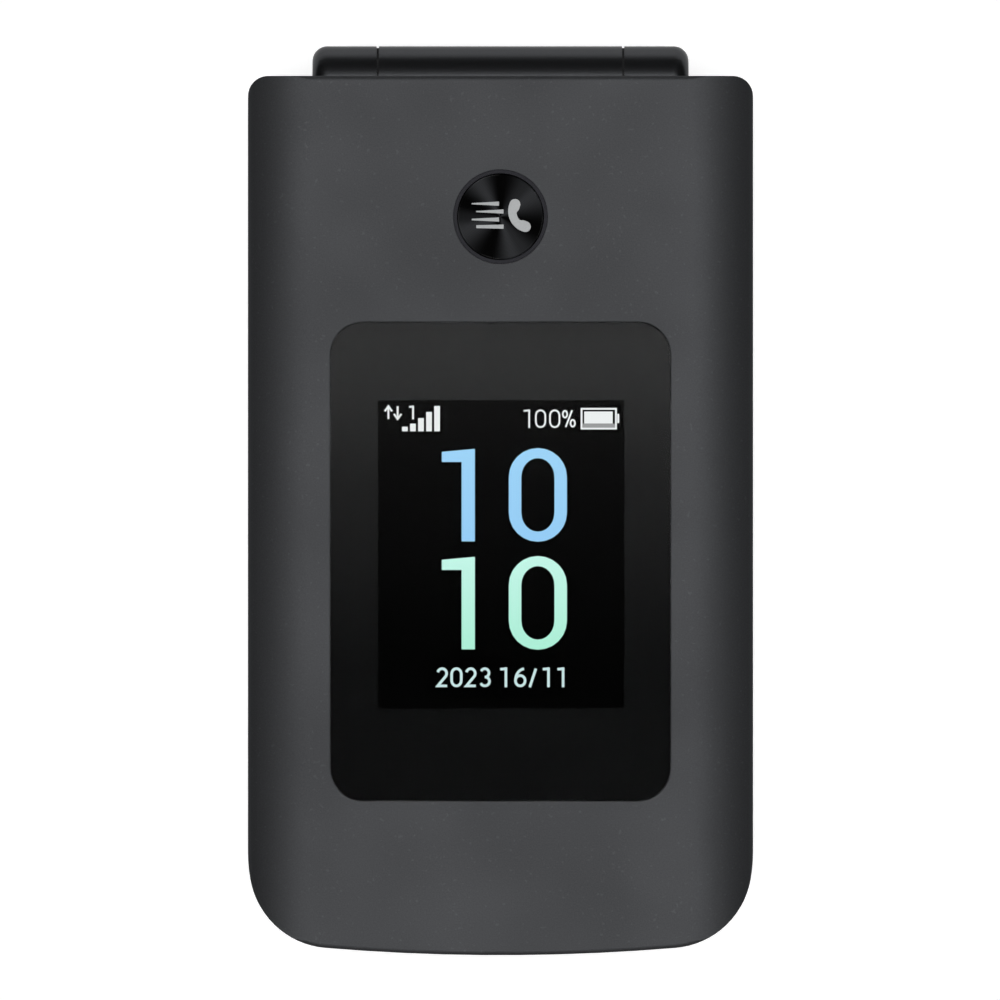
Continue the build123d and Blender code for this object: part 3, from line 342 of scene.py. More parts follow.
@dataclass(frozen=True)
class BarrelPaint(Satin):
    """Satin paint that is rubbed smoother round the hinge's barrel."""

    axis: Point = (47.325, 11.0)
    barrel: float = 4.6
    shoulder: float = 6.5
    barrel_roughness: float = 0.32

    def gloss(self, shader: Shader) -> Socket:
        """Roughness by the distance from the hinge's axis.

        Args:
            shader: The material's nodes.

        Returns:
            The roughness.
        """
        feeds = {0: shader.place, 1: (0.0, 1.0, 1.0)}
        flat = shader.add("VectorMath", feeds, operation="MULTIPLY").outputs["Vector"]
        feeds = {0: flat, 1: (0.0, self.axis[0] * MM, self.axis[1] * MM)}
        reach = shader.add("VectorMath", feeds, operation="DISTANCE").outputs["Value"]
        limits = (self.barrel * MM, self.shoulder * MM)
        return shader.spread(reach, self.barrel_roughness, self.roughness, *limits)


@dataclass(frozen=True)
class Glass:
    """Clear plate with a faint unevenness."""

    name: str
    ior: float = 1.2

    def build(self) -> Material:
        """Makes the material.

        Returns:
            The material.
        """
        shader = Shader(self.name)
        white = (1.0, 1.0, 1.0)
        shader.set(Base_Color=white, Transmission_Weight=1.0, IOR=self.ior, Roughness=0.0)
        shader.bump(shader.noise(0.03), 0.0005)
        return shader.material


@dataclass(frozen=True)
class Glow:
    """A lit part of a display, shading from one colour to another along Y."""

    name: str
    top: Colour
    bottom: Colour
    top_y: float = 0.0
    bottom_y: float = -1.0

    def build(self) -> Material:
        """Makes the material.

        Returns:
            The material.
        """
        shader = Shader(self.name)
        colour = shader.mix(self.bottom, self.top, shader.along(self.bottom_y, self.top_y))
        shader.set(Emission_Color=colour, Emission_Strength=1.0)
        shader.set(Base_Color=(0.0, 0.0, 0.0), Roughness=0.6, Specular_IOR_Level=0.0)
        return shader.material


@dataclass(frozen=True)
class Spun:
    """Black lacquered disc turned on a lathe, with highlights painted into its colour in wedges
    round it.

    Each wedge has its share of a turn from -X, and how bright the highlight painted on it is.
    """

    name: str
    centre: Point
    wedges: tuple[Point, ...] = (
        (0.055, 1.0), (0.2, 0.0), (0.3, 1.0), (0.345, 0.75), (0.45, 0.0), (0.6, 1.0),
        (0.64, 0.7), (0.75, 0.0), (0.84, 1.0), (0.94, 0.0),
    )
    seam: float = 0.5
    rings_per_mm: float = 2.2
    narrowing: float = 1.7

    def build(self) -> Material:
        """Makes the material.

        Returns:
            The material.
        """
        shader = Shader(self.name)
        place = shader.moved(self.centre)
        turn = shader.add("TexGradient", {"Vector": place}, gradient_type="RADIAL")
        # Painted highlight: brightness painted into the base colour in wedges, fixed to the disc;
        # only the rings below are real bumps.
        painted_shine_level = shader.ramp(turn.outputs["Fac"], self.wedges, (self.seam, self.seam), "EASE")
        feeds = {"Scale": self.rings_per_mm / MM, "Vector": place}
        rings = shader.add("TexWave", feeds, wave_type="RINGS", rings_direction="Z").outputs["Fac"]
        turned = shader.combine("MULTIPLY", painted_shine_level, shader.spread(rings, 0.8, 1.05, 0.0, 1.0))
        painted_shine_narrowed = shader.combine("POWER", turned, self.narrowing)
        # Black base colour with the painted highlights mixed in.
        lacquer_with_painted_shine = shader.mix(shade(2, 2, 2), shade(50, 51, 53), painted_shine_narrowed)
        shader.set(Base_Color=lacquer_with_painted_shine, Roughness=0.08, Specular_IOR_Level=0.05)
        shader.bump(rings, 0.0001, 0.5)
        return shader.material


@dataclass(frozen=True)
class Board:
    """Solder mask over copper tracks."""

    name: str
    mask: Colour
    track: Colour

    def build(self) -> Material:
        """Makes the material.

        Returns:
            The material.
        """
        shader = Shader(self.name)
        worn = tuple(c * 0.8 for c in self.mask)
        feeds = {"Color1": self.mask, "Color2": worn, "Mortar": self.track, "Mortar Size": 0.06}
        feeds |= {"Scale": 0.22 / MM, "Vector": shader.place}
        bricks = shader.add("TexBrick", feeds, offset=0.35, squash=0.7).outputs
        shader.set(Base_Color=bricks["Color"], Roughness=0.35)
        shader.bump(bricks["Fac"], 0.02, 0.6)
        return shader.material


@dataclass(frozen=True)
class Brushed:
    """Metal with fine lines drawn along X."""

    name: str
    colour: Colour
    roughness: float = 0.3
    stretch: Colour = (0.04, 1.0, 1.0)

    def build(self) -> Material:
        """Makes the material.

        Returns:
            The material.
        """
        shader = Shader(self.name)
        lines = shader.noise(8.0, 3.0, shader.moved((0.0, 0.0), self.stretch))
        shader.tint(self.colour, lines, 0.15)
        rough = shader.spread(lines, self.roughness - 0.06, self.roughness + 0.06)
        shader.set(Metallic=1.0, Roughness=rough)
        shader.bump(lines, 0.003, 0.6)
        return shader.material


class Finish(Enum):
    """Every finish of the phone."""

    LID_PAINT = Satin("lid_paint", shade(68, 69, 71), 0.7, 0.85, 0.3, 6.0, 0.006, 0.1, 0.4, 0.24)
    FRAME_PAINT = BarrelPaint(
        "frame_paint", shade(64, 65, 67), 0.6, 0.9, 0.3, 6.0, 0.002, 0.05, 0.52
    )
    BASE_PLASTIC = Satin("base_plastic", shade(44, 45, 47), 0.6, 0.2, 0.35, 3.5, 0.012, 0.1)
    GLASS = Glass("window_glass", 1.12)
    LENS_GLASS = Glass("lens_glass")
    LENS = Satin("lens_coating", shade(30, 20, 52), 0.04, 0.0, 0.6, 1.0, 0.0, 0.1)
    PRINT = Satin("border_print", shade(8, 9, 9), 0.03, 0.0, 0.32, 0.5, 0.0, 0.05)
    PANEL = Satin("display_panel", shade(1, 1, 1), 0.03, 0.0, 0.025, 0.8, 0.0, 0.05)
    # Button cap: black, with highlights painted into its colour in wedges.
    SPUN = Spun("button_gloss", (0.0, 32.25))
    RING = Brushed("button_ring", shade(21, 21, 23), 0.4)
    DARK_TRIM = Brushed("dark_trim", shade(44, 45, 48), 0.42)
    KEY = Satin("key_plastic", shade(30, 31, 33), 0.5, 0.0, 0.3, 4.0, 0.004, 0.08)
    LEGEND = Satin("legend_print", shade(205, 207, 208), 0.5, 0.0, 0.3, 5.0, 0.001, 0.03)
    GREEN = Satin("send_print", shade(70, 190, 95), 0.5, 0.0, 0.3, 5.0, 0.001, 0.03)
    RED = Satin("end_print", shade(205, 60, 52), 0.5, 0.0, 0.3, 5.0, 0.001, 0.03)
    ICON = Satin("icon_print", shade(165, 167, 168), 0.45, 0.0, 0.2, 5.0, 0.001, 0.04)
    RUBBER = Satin("soft_rubber", shade(34, 34, 35), 0.85, 0.0, 0.2, 2.5, 0.01, 0.1)
    STEEL = Brushed("steel", shade(150, 151, 153), 0.28)
    GOLD = Brushed("gold_contact", shade(225, 178, 92), 0.25)
    BOARD = Board("circuit_board", shade(18, 66, 46), shade(40, 100, 66))
    BATTERY = Satin("battery_wrap", shade(52, 54, 58), 0.4, 0.0, 0.5, 1.2, 0.006, 0.06)
    BLACK = Satin("black_plastic", shade(20, 20, 21), 0.5, 0.0, 0.4, 4.0, 0.005, 0.1)
    FILM = Satin("amber_film", shade(168, 92, 28), 0.3, 0.0, 0.5, 0.8, 0.002, 0.12)
    WHITE_GLOW = Glow("white_glow", shade(236, 240, 240), shade(236, 240, 240))
    BLUE_GLOW = Glow("blue_glow", shade(158, 212, 247), shade(150, 205, 245), 6.0, -4.8)
    MINT_GLOW = Glow("mint_glow", shade(196, 246, 232), shade(172, 238, 214), -6.3, -17.0)
    CLOCK_GLOW = Glow("clock_glow", shade(172, 238, 214), shade(158, 212, 247), -12.5, -21.5)
    DIM_GLOW = Glow("dim_glow", shade(152, 154, 154), shade(152, 154, 154))
    DATE_GLOW = Glow("date_glow", shade(200, 226, 226), shade(200, 226, 226))

    @property
    def material(self) -> Material:
        """The finish's material, made when it is first asked for."""
        return bpy.data.materials.get(f"look_{self.value.name}") or self.value.build()


# bench


def alone(piece: Piece | None = None) -> None:
    """Leaves edit mode and selects one piece or none.

    Args:
        piece: The piece to select and make active.
    """
    if bpy.context.object and bpy.context.object.mode != "OBJECT":
        bpy.ops.object.mode_set(mode="OBJECT")
    bpy.ops.object.select_all(action="DESELECT")
    if piece:
        piece.select_set(True)
        bpy.context.view_layer.objects.active = piece


def new_piece(name: str) -> Piece:
    """Names the primitive that was just added and settles its place in its mesh.

    Args:
        name: The piece's name.

    Returns:
        The piece.
    """
    piece = bpy.context.object
    piece.name = piece.data.name = name
    bpy.ops.object.transform_apply(location=True, rotation=True, scale=True)
    return piece


def apply(piece: Piece, kind: str, **settings: object) -> None:
    """Adds a modifier and applies it.

    Args:
        piece: The piece.
        kind: The modifier's type.
        settings: The modifier's settings by name.
    """
    alone(piece)
    modifier = piece.modifiers.new(kind.lower(), kind)
    for key, value in settings.items():
        setattr(modifier, key, value)
    bpy.ops.object.modifier_apply(modifier=modifier.name)


def outward(piece: Piece) -> None:
    """Turns all faces of a closed piece outwards.

    Args:
        piece: The piece.
    """
    alone(piece)
    bpy.ops.object.mode_set(mode="EDIT")
    bpy.ops.mesh.select_all(action="SELECT")
    bpy.ops.mesh.normals_make_consistent(inside=False)
    bpy.ops.object.mode_set(mode="OBJECT")


def merge(name: str, pieces: list[Piece]) -> Piece:
    """Joins several meshes into one piece.

    Args:
        name: The piece's name.
        pieces: The meshes.

    Returns:
        The piece.
    """
    alone(pieces[0])
    for piece in pieces:
        piece.select_set(True)
    if len(pieces) > 1:
        bpy.ops.object.join()
    pieces[0].name = pieces[0].data.name = name
    return pieces[0]


def fuse(name: str, pieces: list[Piece]) -> Piece:
    """Fuses pieces that cross each other into one closed mesh.

    Args:
        name: The piece's name.
        pieces: The meshes.

    Returns:
        The piece.
    """
    first, *others = pieces
    for other in others:
        apply(first, "BOOLEAN", operation="UNION", solver="EXACT", object=other)
        bpy.data.objects.remove(other)
    return merge(name, [first])


def round_edges(piece: Piece, radius: float, steps: int, upright: bool) -> None:
    """Bevels a prism's upright edges, or all the edges round its top and bottom.

    Args:
        piece: The prism.
        radius: Radius in millimetres.
        steps: Number of faces across the round.
        upright: True for the upright edges.
    """
    alone(piece)
    bpy.context.tool_settings.mesh_select_mode = (False, True, False)
    mesh = piece.data
    for edge in mesh.edges:
        first, last = (mesh.vertices[i].co for i in edge.vertices)
        edge.select = (abs(first.z - last.z) > 1e-7) == upright
    for item in (*mesh.vertices, *mesh.polygons):
        item.select = False
    bpy.ops.object.mode_set(mode="EDIT")
    bpy.ops.mesh.bevel(offset=radius * MM, segments=steps, profile=0.5, affect="EDGES")
    bpy.ops.object.mode_set(mode="OBJECT")
    bpy.context.tool_settings.mesh_select_mode = (True, False, False)


def slab(
    name: str,
    centre: Point,
    size: Point,
    span: Span,
    corner: float = 0.0,
    edge: float = 0.0,
    edge_steps: int = 3,
) -> Piece:
    """A flat prism with rounded corners and softened edges.

    Args:
        name: The piece's name.
        centre: Centre on plan in millimetres.
        size: Width and length.
        span: Heights of its underside and top.
        corner: Radius of its corners on plan.
        edge: Radius of the edges round its top and underside.
        edge_steps: Faces across such an edge.

    Returns:
        The piece.
    """
    alone()
    place = (centre[0] * MM, centre[1] * MM, sum(span) / 2 * MM)
    bpy.ops.mesh.primitive_cube_add(size=1.0, location=place)
    bpy.context.object.scale = (size[0] * MM, size[1] * MM, (span[1] - span[0]) * MM)
    piece = new_piece(name)
    if corner:
        round_edges(piece, corner, 12, True)
    if edge:
        round_edges(piece, edge, edge_steps, False)
    return piece


def disc(name: str, centre: Point, radius: float, span: Span, edge: float) -> Piece:
    """A round plate with softened edges.

    Args:
        name: The piece's name.
        centre: Centre on plan in millimetres.
        radius: Its radius.
        span: Heights of its underside and top.
        edge: Radius of its edges.

    Returns:
        The piece.
    """
    alone()
    bpy.ops.mesh.primitive_cylinder_add(
        vertices=64,
        radius=radius * MM,
        depth=(span[1] - span[0]) * MM,
        location=(centre[0] * MM, centre[1] * MM, sum(span) / 2 * MM),
    )
    piece = new_piece(name)
    round_edges(piece, edge, 3, False)
    return piece


def line(path: Path, height: float, closed: bool) -> Piece:
    """A chain of edges along a path.

    Args:
        path: Points on plan in millimetres.
        height: Height of the chain.
        closed: Whether its end joins its start.

    Returns:
        The chain, as a piece that is still in edit mode.
    """
    alone()
    start = (path[0][0] * MM, path[0][1] * MM, height * MM)
    bpy.ops.mesh.primitive_plane_add(size=MM, location=start)
    new_piece("line")
    bpy.ops.object.mode_set(mode="EDIT")
    bpy.ops.mesh.select_all(action="SELECT")
    bpy.ops.mesh.merge(type="CENTER")
    for here, there in zip(path, path[1:]):
        step = ((there[0] - here[0]) * MM, (there[1] - here[1]) * MM, 0.0)
        bpy.ops.mesh.extrude_vertices_move(TRANSFORM_OT_translate={"value": step})
    bpy.ops.mesh.select_all(action="SELECT")
    if closed:
        bpy.ops.mesh.edge_face_add()
        bpy.ops.mesh.delete(type="ONLY_FACE")
        bpy.ops.mesh.select_all(action="SELECT")
    return bpy.context.object


def stroke(path: Path, width: float, span: Span, closed: bool = False) -> Piece:
    """A flat band of even width along a path.

    Args:
        path: Its centre line on plan in millimetres.
        width: Its width.
        span: Heights of its underside and top.
        closed: Whether it is a loop.

    Returns:
        The band.
    """
    if closed:
        path = [p for i, p in enumerate(path) if math.dist(p, path[i - 1]) > 1e-4]
    piece = line(path, span[0], closed)
    rise = (0.0, 0.0, (span[1] - span[0]) * MM)
    bpy.ops.mesh.extrude_edges_move(TRANSFORM_OT_translate={"value": rise})
    outward(piece)
    apply(piece, "SOLIDIFY", thickness=width * MM, offset=0.0, use_even_offset=True, use_rim=True)
    outward(piece)
    return piece


def plate(name: str, span: Span, *rims: Path) -> Piece:
    """A flat plate with a given outline, and an opening where a second one is given.

    Args:
        name: The piece's name.
        span: Heights of its underside and top.
        rims: The outline and the opening on plan in millimetres.

    Returns:
        The plate.
    """
    piece = merge(name, [line(rim, span[0], True) for rim in rims])
    bpy.ops.object.mode_set(mode="EDIT")
    bpy.ops.mesh.select_all(action="SELECT")
    bpy.ops.mesh.fill(use_beauty=True)
    rise = (0.0, 0.0, (span[1] - span[0]) * MM)
    bpy.ops.mesh.extrude_region_move(TRANSFORM_OT_translate={"value": rise})
    outward(piece)
    return piece


def arc(centre: Point, radii: Point, start: float, end: float, steps: int = 10) -> Path:
    """Points along an ellipse.

    Args:
        centre: The ellipse's centre.
        radii: Its two radii.
        start: Angle of the first point in degrees.
        end: Angle of the last.
        steps: Number of runs between them.

    Returns:
        The points.
    """
    (x, y), (across, up) = centre, radii
    angles = [math.radians(start + (end - start) * i / steps) for i in range(steps + 1)]
    return [(x + across * math.cos(a), y + up * math.sin(a)) for a in angles]


def oval(centre: Point, radii: Point, straight: float = 0.0) -> Path:
    """Points round an oval with straight sides.

    Args:
        centre: Its centre.
        radii: Radii of its ends.
        straight: Length of its upright sides.

    Returns:
        The points.
    """
    x, y = centre
    top = arc((x, y + straight / 2), radii, 0, 180, 12)
    return top + arc((x, y - straight / 2), radii, 180, 360, 12)


def box_path(centre: Point, size: Point, corner: float = 0.0) -> Path:
    """Points round a rectangle with rounded corners.

    Args:
        centre: Its centre in millimetres.
        size: Its width and length.
        corner: Radius of its corners.

    Returns:
        The points.
    """
    path: Path = []
    for turn, (sx, sy) in enumerate(((1, 1), (-1, 1), (-1, -1), (1, -1))):
        x = centre[0] + sx * (size[0] / 2 - corner)
        y = centre[1] + sy * (size[1] / 2 - corner)
        if corner:
            path += arc((x, y), (corner, corner), turn * 90, turn * 90 + 90, 12)
        else:
            path.append((x, y))
    return path


@dataclass(frozen=True)
class Sign:
    """Centre lines of one plain sign, on a cell one unit high."""

    width: float
    open_lines: tuple[Path, ...] = ()
    loops: tuple[Path, ...] = ()


SIGNS = {
    "0": Sign(0.56, loops=(oval((0.28, 0.5), (0.28, 0.32), 0.36),)),
    "1": Sign(0.33, ([(0.33, 0.0), (0.33, 1.0)], [(0.0, 0.965), (0.33, 0.995)])),
    "2": Sign(0.54, (arc((0.27, 0.72), (0.26, 0.28), 165, -30, 10) + [(0.02, 0.0), (0.56, 0.0)],)),
    "3": Sign(
        0.54,
        (
            arc((0.26, 0.75), (0.24, 0.25), 155, -90, 10),
            arc((0.26, 0.26), (0.27, 0.26), 90, -155, 10),
        ),
    ),
    "4": Sign(0.6, ([(0.44, 0.0), (0.44, 1.0)], [(0.41, 0.97), (0.0, 0.3), (0.6, 0.3)])),
    "5": Sign(
        0.54,
        ([(0.5, 1.0), (0.09, 1.0), (0.05, 0.52)] + arc((0.27, 0.31), (0.27, 0.31), 130, -150, 12),),
    ),
    "6": Sign(
        0.56, (arc((0.56, 0.3), (0.56, 0.7), 180, 97, 8),), (oval((0.28, 0.3), (0.28, 0.3)),)
    ),
    "7": Sign(0.54, ([(0.0, 1.0), (0.55, 1.0), (0.18, 0.0)],)),
    "8": Sign(0.56, (), (oval((0.28, 0.76), (0.24, 0.24)), oval((0.28, 0.26), (0.28, 0.26)))),
    "9": Sign(0.56, (arc((0.0, 0.7), (0.56, 0.7), 0, -83, 8),), (oval((0.28, 0.7), (0.28, 0.3)),)),
    "*": Sign(
        0.72,
        tuple([p, (0.72 - p[0], 1.0 - p[1])] for p in arc((0.36, 0.5), (0.38, 0.38), 90, -30, 2)),
    ),
    "#": Sign(
        0.6,
        (
            [(0.12, 0.0), (0.24, 1.0)],
            [(0.38, 0.0), (0.5, 1.0)],
            [(0.0, 0.33), (0.6, 0.33)],
            [(0.03, 0.67), (0.63, 0.67)],
        ),
    ),
    "%": Sign(
        0.74,
        ([(0.18, 0.0), (0.56, 1.0)],),
        (oval((0.14, 0.77), (0.13, 0.2)), oval((0.6, 0.23), (0.13, 0.2))),
    ),
    "/": Sign(0.36, ([(0.0, -0.08), (0.36, 1.0)],)),
    ":": Sign(0.04, ([(0.02, 0.18), (0.02, 0.3)], [(0.02, 0.66), (0.02, 0.78)])),
}


def squared(path: Path, extra: float) -> Path:
    """Lengthens a single upright run at both ends, and leaves other paths alone.

    Args:
        path: The points, from the foot up.
        extra: Length to add at each end.

    Returns:
        The points.
    """
    (x, foot), (last_x, head) = path[0], path[-1]
    if len(path) > 2 or abs(x - last_x) > 1e-6:
        return path
    return [(x, foot - extra), (x, head + extra)]


def figures(
    name: str,
    text: str,
    corner: Point,
    height: float,
    width: float,
    span: Span,
    gap: float = 0.2,
    flip: bool = False,
    pitch: float = 0.0,
    centred: bool = False,
) -> Piece:
    """A row of plain figures with strokes of even width.

    Args:
        name: The piece's name.
        text: Which figures.
        corner: Lower left corner of the row, in millimetres, or the middle of its foot.
        height: Height of the figures.
        width: Width of their strokes.
        span: Heights of their underside and top.
        gap: Space between figures as a share of their height.
        flip: True where they are read from below, with -Y up.
        pitch: Width of each figure's cell as a share of their height, or 0 for an even gap.
        centred: True where the corner is the middle of the row's foot.

    Returns:
        The piece.
    """
    scale, up = height - width, -1.0 if flip else 1.0
    made, start, signs = [], corner[0] + width / 2, [SIGNS[c] for c in text]
    if centred:
        length = sum(sign.width for sign in signs) + (len(signs) - 1) * gap
        start -= (length * scale + width) / 2
    for sign in signs:
        left = start + (pitch - sign.width) / 2 * scale if pitch else start
        strokes = []
        for closed, paths in ((False, sign.open_lines), (True, sign.loops)):
            for path in paths:
                placed = [
                    (left + x * scale, corner[1] + up * (width / 2 + y * scale)) for x, y in path
                ]
                strokes.append(stroke(squared(placed, up * width / 2), width, span, closed))
        made.append(fuse("figure", strokes))
        start += (pitch or sign.width + gap) * scale
    return merge(name, made)


def handset(centre: Point, size: float, turn: float, span: Span) -> Piece:
    """A plain telephone receiver.

    Args:
        centre: Its middle on plan in millimetres.
        size: Its length.
        turn: Direction that its back faces, in degrees.
        span: Heights of its underside and top.

    Returns:
        The piece.
    """
    bend, half, grip, lobe = size * 0.45, 50.0, size * 0.106, size * 0.172
    heart, cap = bend - (lobe - grip) / 2, (lobe + grip) / 2
    swell = ((18, 0.08), (22, 0.3), (26, 0.62), (31, 0.9), (37, 1.0))
    hollow = [(angle, bend - grip - (lobe - grip) * share) for angle, share in swell]
    middle = [(angle, bend - grip) for angle in (14, 7, 0, -7, -14)]
    inner = [*reversed(hollow), *middle, *((-angle, radius) for angle, radius in hollow)]

    def at(angle: float, radius: float) -> Point:
        """A point round the middle of the receiver's bend."""
        place = math.radians(turn + angle)
        return (math.cos(place) * radius, math.sin(place) * radius)

    def end(side: int) -> Path:
        """Points round the lobe at one end."""
        start = turn + side * half + (180 if side < 0 else 0)
        return arc(at(side * half, heart), (cap, cap), start, start + 180, 8)

    path = [at(half * i / 8, bend + grip) for i in range(-8, 9)]
    path += [*end(1)[1:], *(at(*place) for place in inner), *end(-1)[:-1]]
    shift = at(0.0, bend * 0.8)
    outline = [(x + centre[0] - shift[0], y + centre[1] - shift[1]) for x, y in path]
    return plate("handset", span, outline)


def coat(piece: Piece, finish: Finish, body: str) -> None:
    """Gives a new piece its finish and body.

    Args:
        piece: The piece.
        finish: Its finish.
        body: The body it rides on.
    """
    alone(piece)
    piece.data.materials.clear()
    piece.data.materials.append(finish.material)
    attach(piece, body)
    log.info("%s rides on %s in %s", piece.name, body, finish.name.lower())


def dress(piece: Piece, finish: Finish, body: Body, slot: str, *stands_for: str) -> None:
    """Smooths a new piece and coats it.

    Args:
        piece: The piece.
        finish: Its finish.
        body: The body it rides on.
        slot: The record's slot; not used.
        stands_for: The nodes that it replaces.
    """
    alone(piece)
    bpy.ops.object.shade_smooth_by_angle(angle=math.radians(35))
    apply(piece, "WEIGHTED_NORMAL", keep_sharp=True, weight=100)
    coat(piece, finish, body.value)
    if stands_for:
        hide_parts(*stands_for)


def paint(finish: Finish, *nodes: str) -> None:
    """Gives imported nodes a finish.

    Args:
        finish: The finish.
        nodes: The nodes' names.
    """
    for name in nodes:
        node = frame["nodes"][name]
        if not node.material_slots:
            node.data.materials.append(finish.material)
        for slot in node.material_slots:
            slot.material = finish.material
        log.info("%s is in %s", name, finish.name.lower())


# sub-assemblies


@dataclass
class Window:
    """A clear pane in the lid, with a printed border round a lit display."""

    size: Point
    centre: Point
    radius: float
    screen: Point
    screen_centre: Point
    pane_low: float
    print_low: float
    glow: Span
    pane_depth: float = 0.7
    print_depth: float = 0.08
    print_inset: float = 0.1
    chamfer: float = 0.07

    def glaze(self, pane: str, border: str, node: str) -> None:
        """Makes the pane and its printed border.

        Args:
            pane: The pane's name.
            border: The border's name.
            node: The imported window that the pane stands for.
        """
        span = (self.pane_low, self.pane_low + self.pane_depth)
        clear = slab(pane, self.centre, self.size, span, self.radius, self.chamfer, 1)
        dress(clear, Finish.GLASS, Body.LID, "window_gloss", node)
        width, length = (side - 2 * self.print_inset for side in self.size)
        printed = plate(
            border,
            (self.print_low, self.print_low + self.print_depth),
            box_path(self.centre, (width, length), self.radius - self.print_inset),
            box_path(self.screen_centre, self.screen),
        )
        dress(printed, Finish.PRINT, Body.LID, "window_gloss")

    def lit(self, piece: Piece, finish: Finish = Finish.WHITE_GLOW) -> None:
        """Finishes a lit sign."""
        dress(piece, finish, Body.LID, "display_panel")

    def bar(self, left: float, right: float, low: float, high: float) -> Piece:
        """A lit bar between four sides."""
        centre = ((left + right) / 2, (low + high) / 2)
        return slab("bar", centre, (right - left, high - low), self.glow)

    def battery(
        self, name: str, outline: Path, width: float, *bars: tuple[float, float, float, float]
    ) -> None:
        """Makes a battery sign.

        Args:
            name: The sign's name.
            outline: Centre line of its frame.
            width: Width of the frame's stroke.
            bars: Left, right, lower and upper sides of its fill and its end.
        """
        frame_line = stroke(outline, width, self.glow, True)
        self.lit(merge(name, [frame_line, *(self.bar(*sides) for sides in bars)]))


@dataclass
class OuterWindow(Window):
    """The window in the lid's outside, with the small display behind it."""

    size: Point = (38.75, 54.5)
    centre: Point = (0.0, -6.95)
    radius: float = 3.8
    screen: Point = (28.03, 35.04)
    screen_centre: Point = (0.08, -6.135)
    pane_low: float = 18.25
    print_low: float = 18.16
    glow: Span = (17.6, 17.64)
    minute_drop: float = -12.28

    def build(self) -> None:
        """Makes the pane, its printed border and what the display shows."""
        self.glaze("window_pane", "window_border", "outer_window")
        self.status()
        self.clock()

    def status(self) -> None:
        """Makes the signal bars, the arrows, the charge figure and the battery sign."""
        tops = (8.37, 8.72, 9.35, 10.05, 10.73)
        bars = [
            self.bar(-11.2 + 0.915 * i, -10.55 + 0.915 * i, 7.85, top) for i, top in enumerate(tops)
        ]
        self.lit(merge("signal_bars", bars))
        arrows = [figures("line", "1", (-10.5, 9.22), 1.56, 0.22, self.glow)]
        for x, tip, tail in ((-12.75, 10.7, 9.25), (-11.7, 9.25, 10.7)):
            back = tip + (tail - tip) * 0.4
            paths = [(x, tip), (x, tail)], [(x - 0.42, back), (x, tip), (x + 0.42, back)]
            arrows.append(fuse("arrow", [stroke(path, 0.22, self.glow) for path in paths]))
        self.lit(merge("data_arrows", arrows))
        self.lit(figures("charge_figure", "100%", (2.04, 8.23), 2.11, 0.2, self.glow, pitch=0.843))
        outline = box_path((11.175, 9.29), (3.91, 2.24))
        fill, end = (9.52, 12.76, 8.74, 10.1), (13.28, 13.5, 8.79, 9.83)
        self.battery("battery_sign", outline, 0.21, fill, end)
        shadow = self.bar(9.34, 13.01, 8.285, 8.73)
        self.lit(merge("battery_shade", [shadow]), Finish.DIM_GLOW)

    def clock(self) -> None:
        """Makes the hour, the minute and the date."""
        for name, drop, finish in (
            ("hour_figures", 0.0, Finish.BLUE_GLOW),
            ("minute_figures", self.minute_drop, Finish.MINT_GLOW),
        ):
            foot, flag, top = drop - 4.67, drop + 4.36, drop + 5.86
            stem = [(-4.43, foot), (-2.91, foot), (-2.91, top)]
            one = [*stem, (-6.68, top - 0.34), (-6.68, flag), (-4.43, flag)]
            zero = [oval((4.25, drop + 0.62), radii, 4.06) for radii in ((3.31, 3.3), (1.88, 2.15))]
            made = [plate("one", self.glow, one), plate("zero", self.glow, *zero)]
            self.lit(merge(name, made), finish)
        groups = (("2023", -7.6, 0.83), ("16", -0.84, 1.0), ("/", 2.9, 0.64), ("11", 4.15, 0.85))
        date = [
            figures("group", text, (left, -21.25), 2.26, 0.3, self.glow, pitch=pitch)
            for text, left, pitch in groups
        ]
        self.lit(merge("date_figures", date), Finish.DATE_GLOW)


@dataclass
class InnerScreen(Window):
    """The large display on the lid's inside, with its window."""

    size: Point = (46.4, 77.0)
    centre: Point = (0.0, -2.5)
    radius: float = 2.5
    screen: Point = (43.2, 57.6)
    screen_centre: Point = (0.0, -7.7)
    pane_low: float = 11.25
    print_low: float = 11.96
    glow: Span = (12.44, 12.5)

    def build(self) -> None:
        """Makes the pane, its printed border and what the display shows."""
        self.glaze("screen_pane", "screen_border", "inner_window")
        for name, text, y, height, width, finish in (
            ("screen_clock", "10:10", -12.5, 9.0, 0.9, Finish.CLOCK_GLOW),
            ("screen_date", "16/11", -7.0, 3.2, 0.36, Finish.DATE_GLOW),
        ):
            row = figures(
                name, text, (0.0, y), height, width, self.glow, 0.24, flip=True, centred=True
            )
            self.lit(row, finish)
        bars = [
            self.bar(-20.0 + 1.1 * i, -19.2 + 1.1 * i, -33.3 - 0.6 * i, -32.5) for i in range(5)
        ]
        self.lit(merge("screen_signal", bars))
        outline = box_path((17.6, -33.75), (4.4, 2.3))
        fill, end = (15.8, 19.4, -34.5, -33.0), (19.95, 20.25, -34.25, -33.25)
        self.battery("screen_battery", outline, 0.25, fill, end)
        for side, x in (("left", -12.0), ("right", 12.0)):
            self.lit(merge(f"screen_{side}_choice", [self.bar(x - 3.0, x + 3.0, 17.35, 17.85)]))


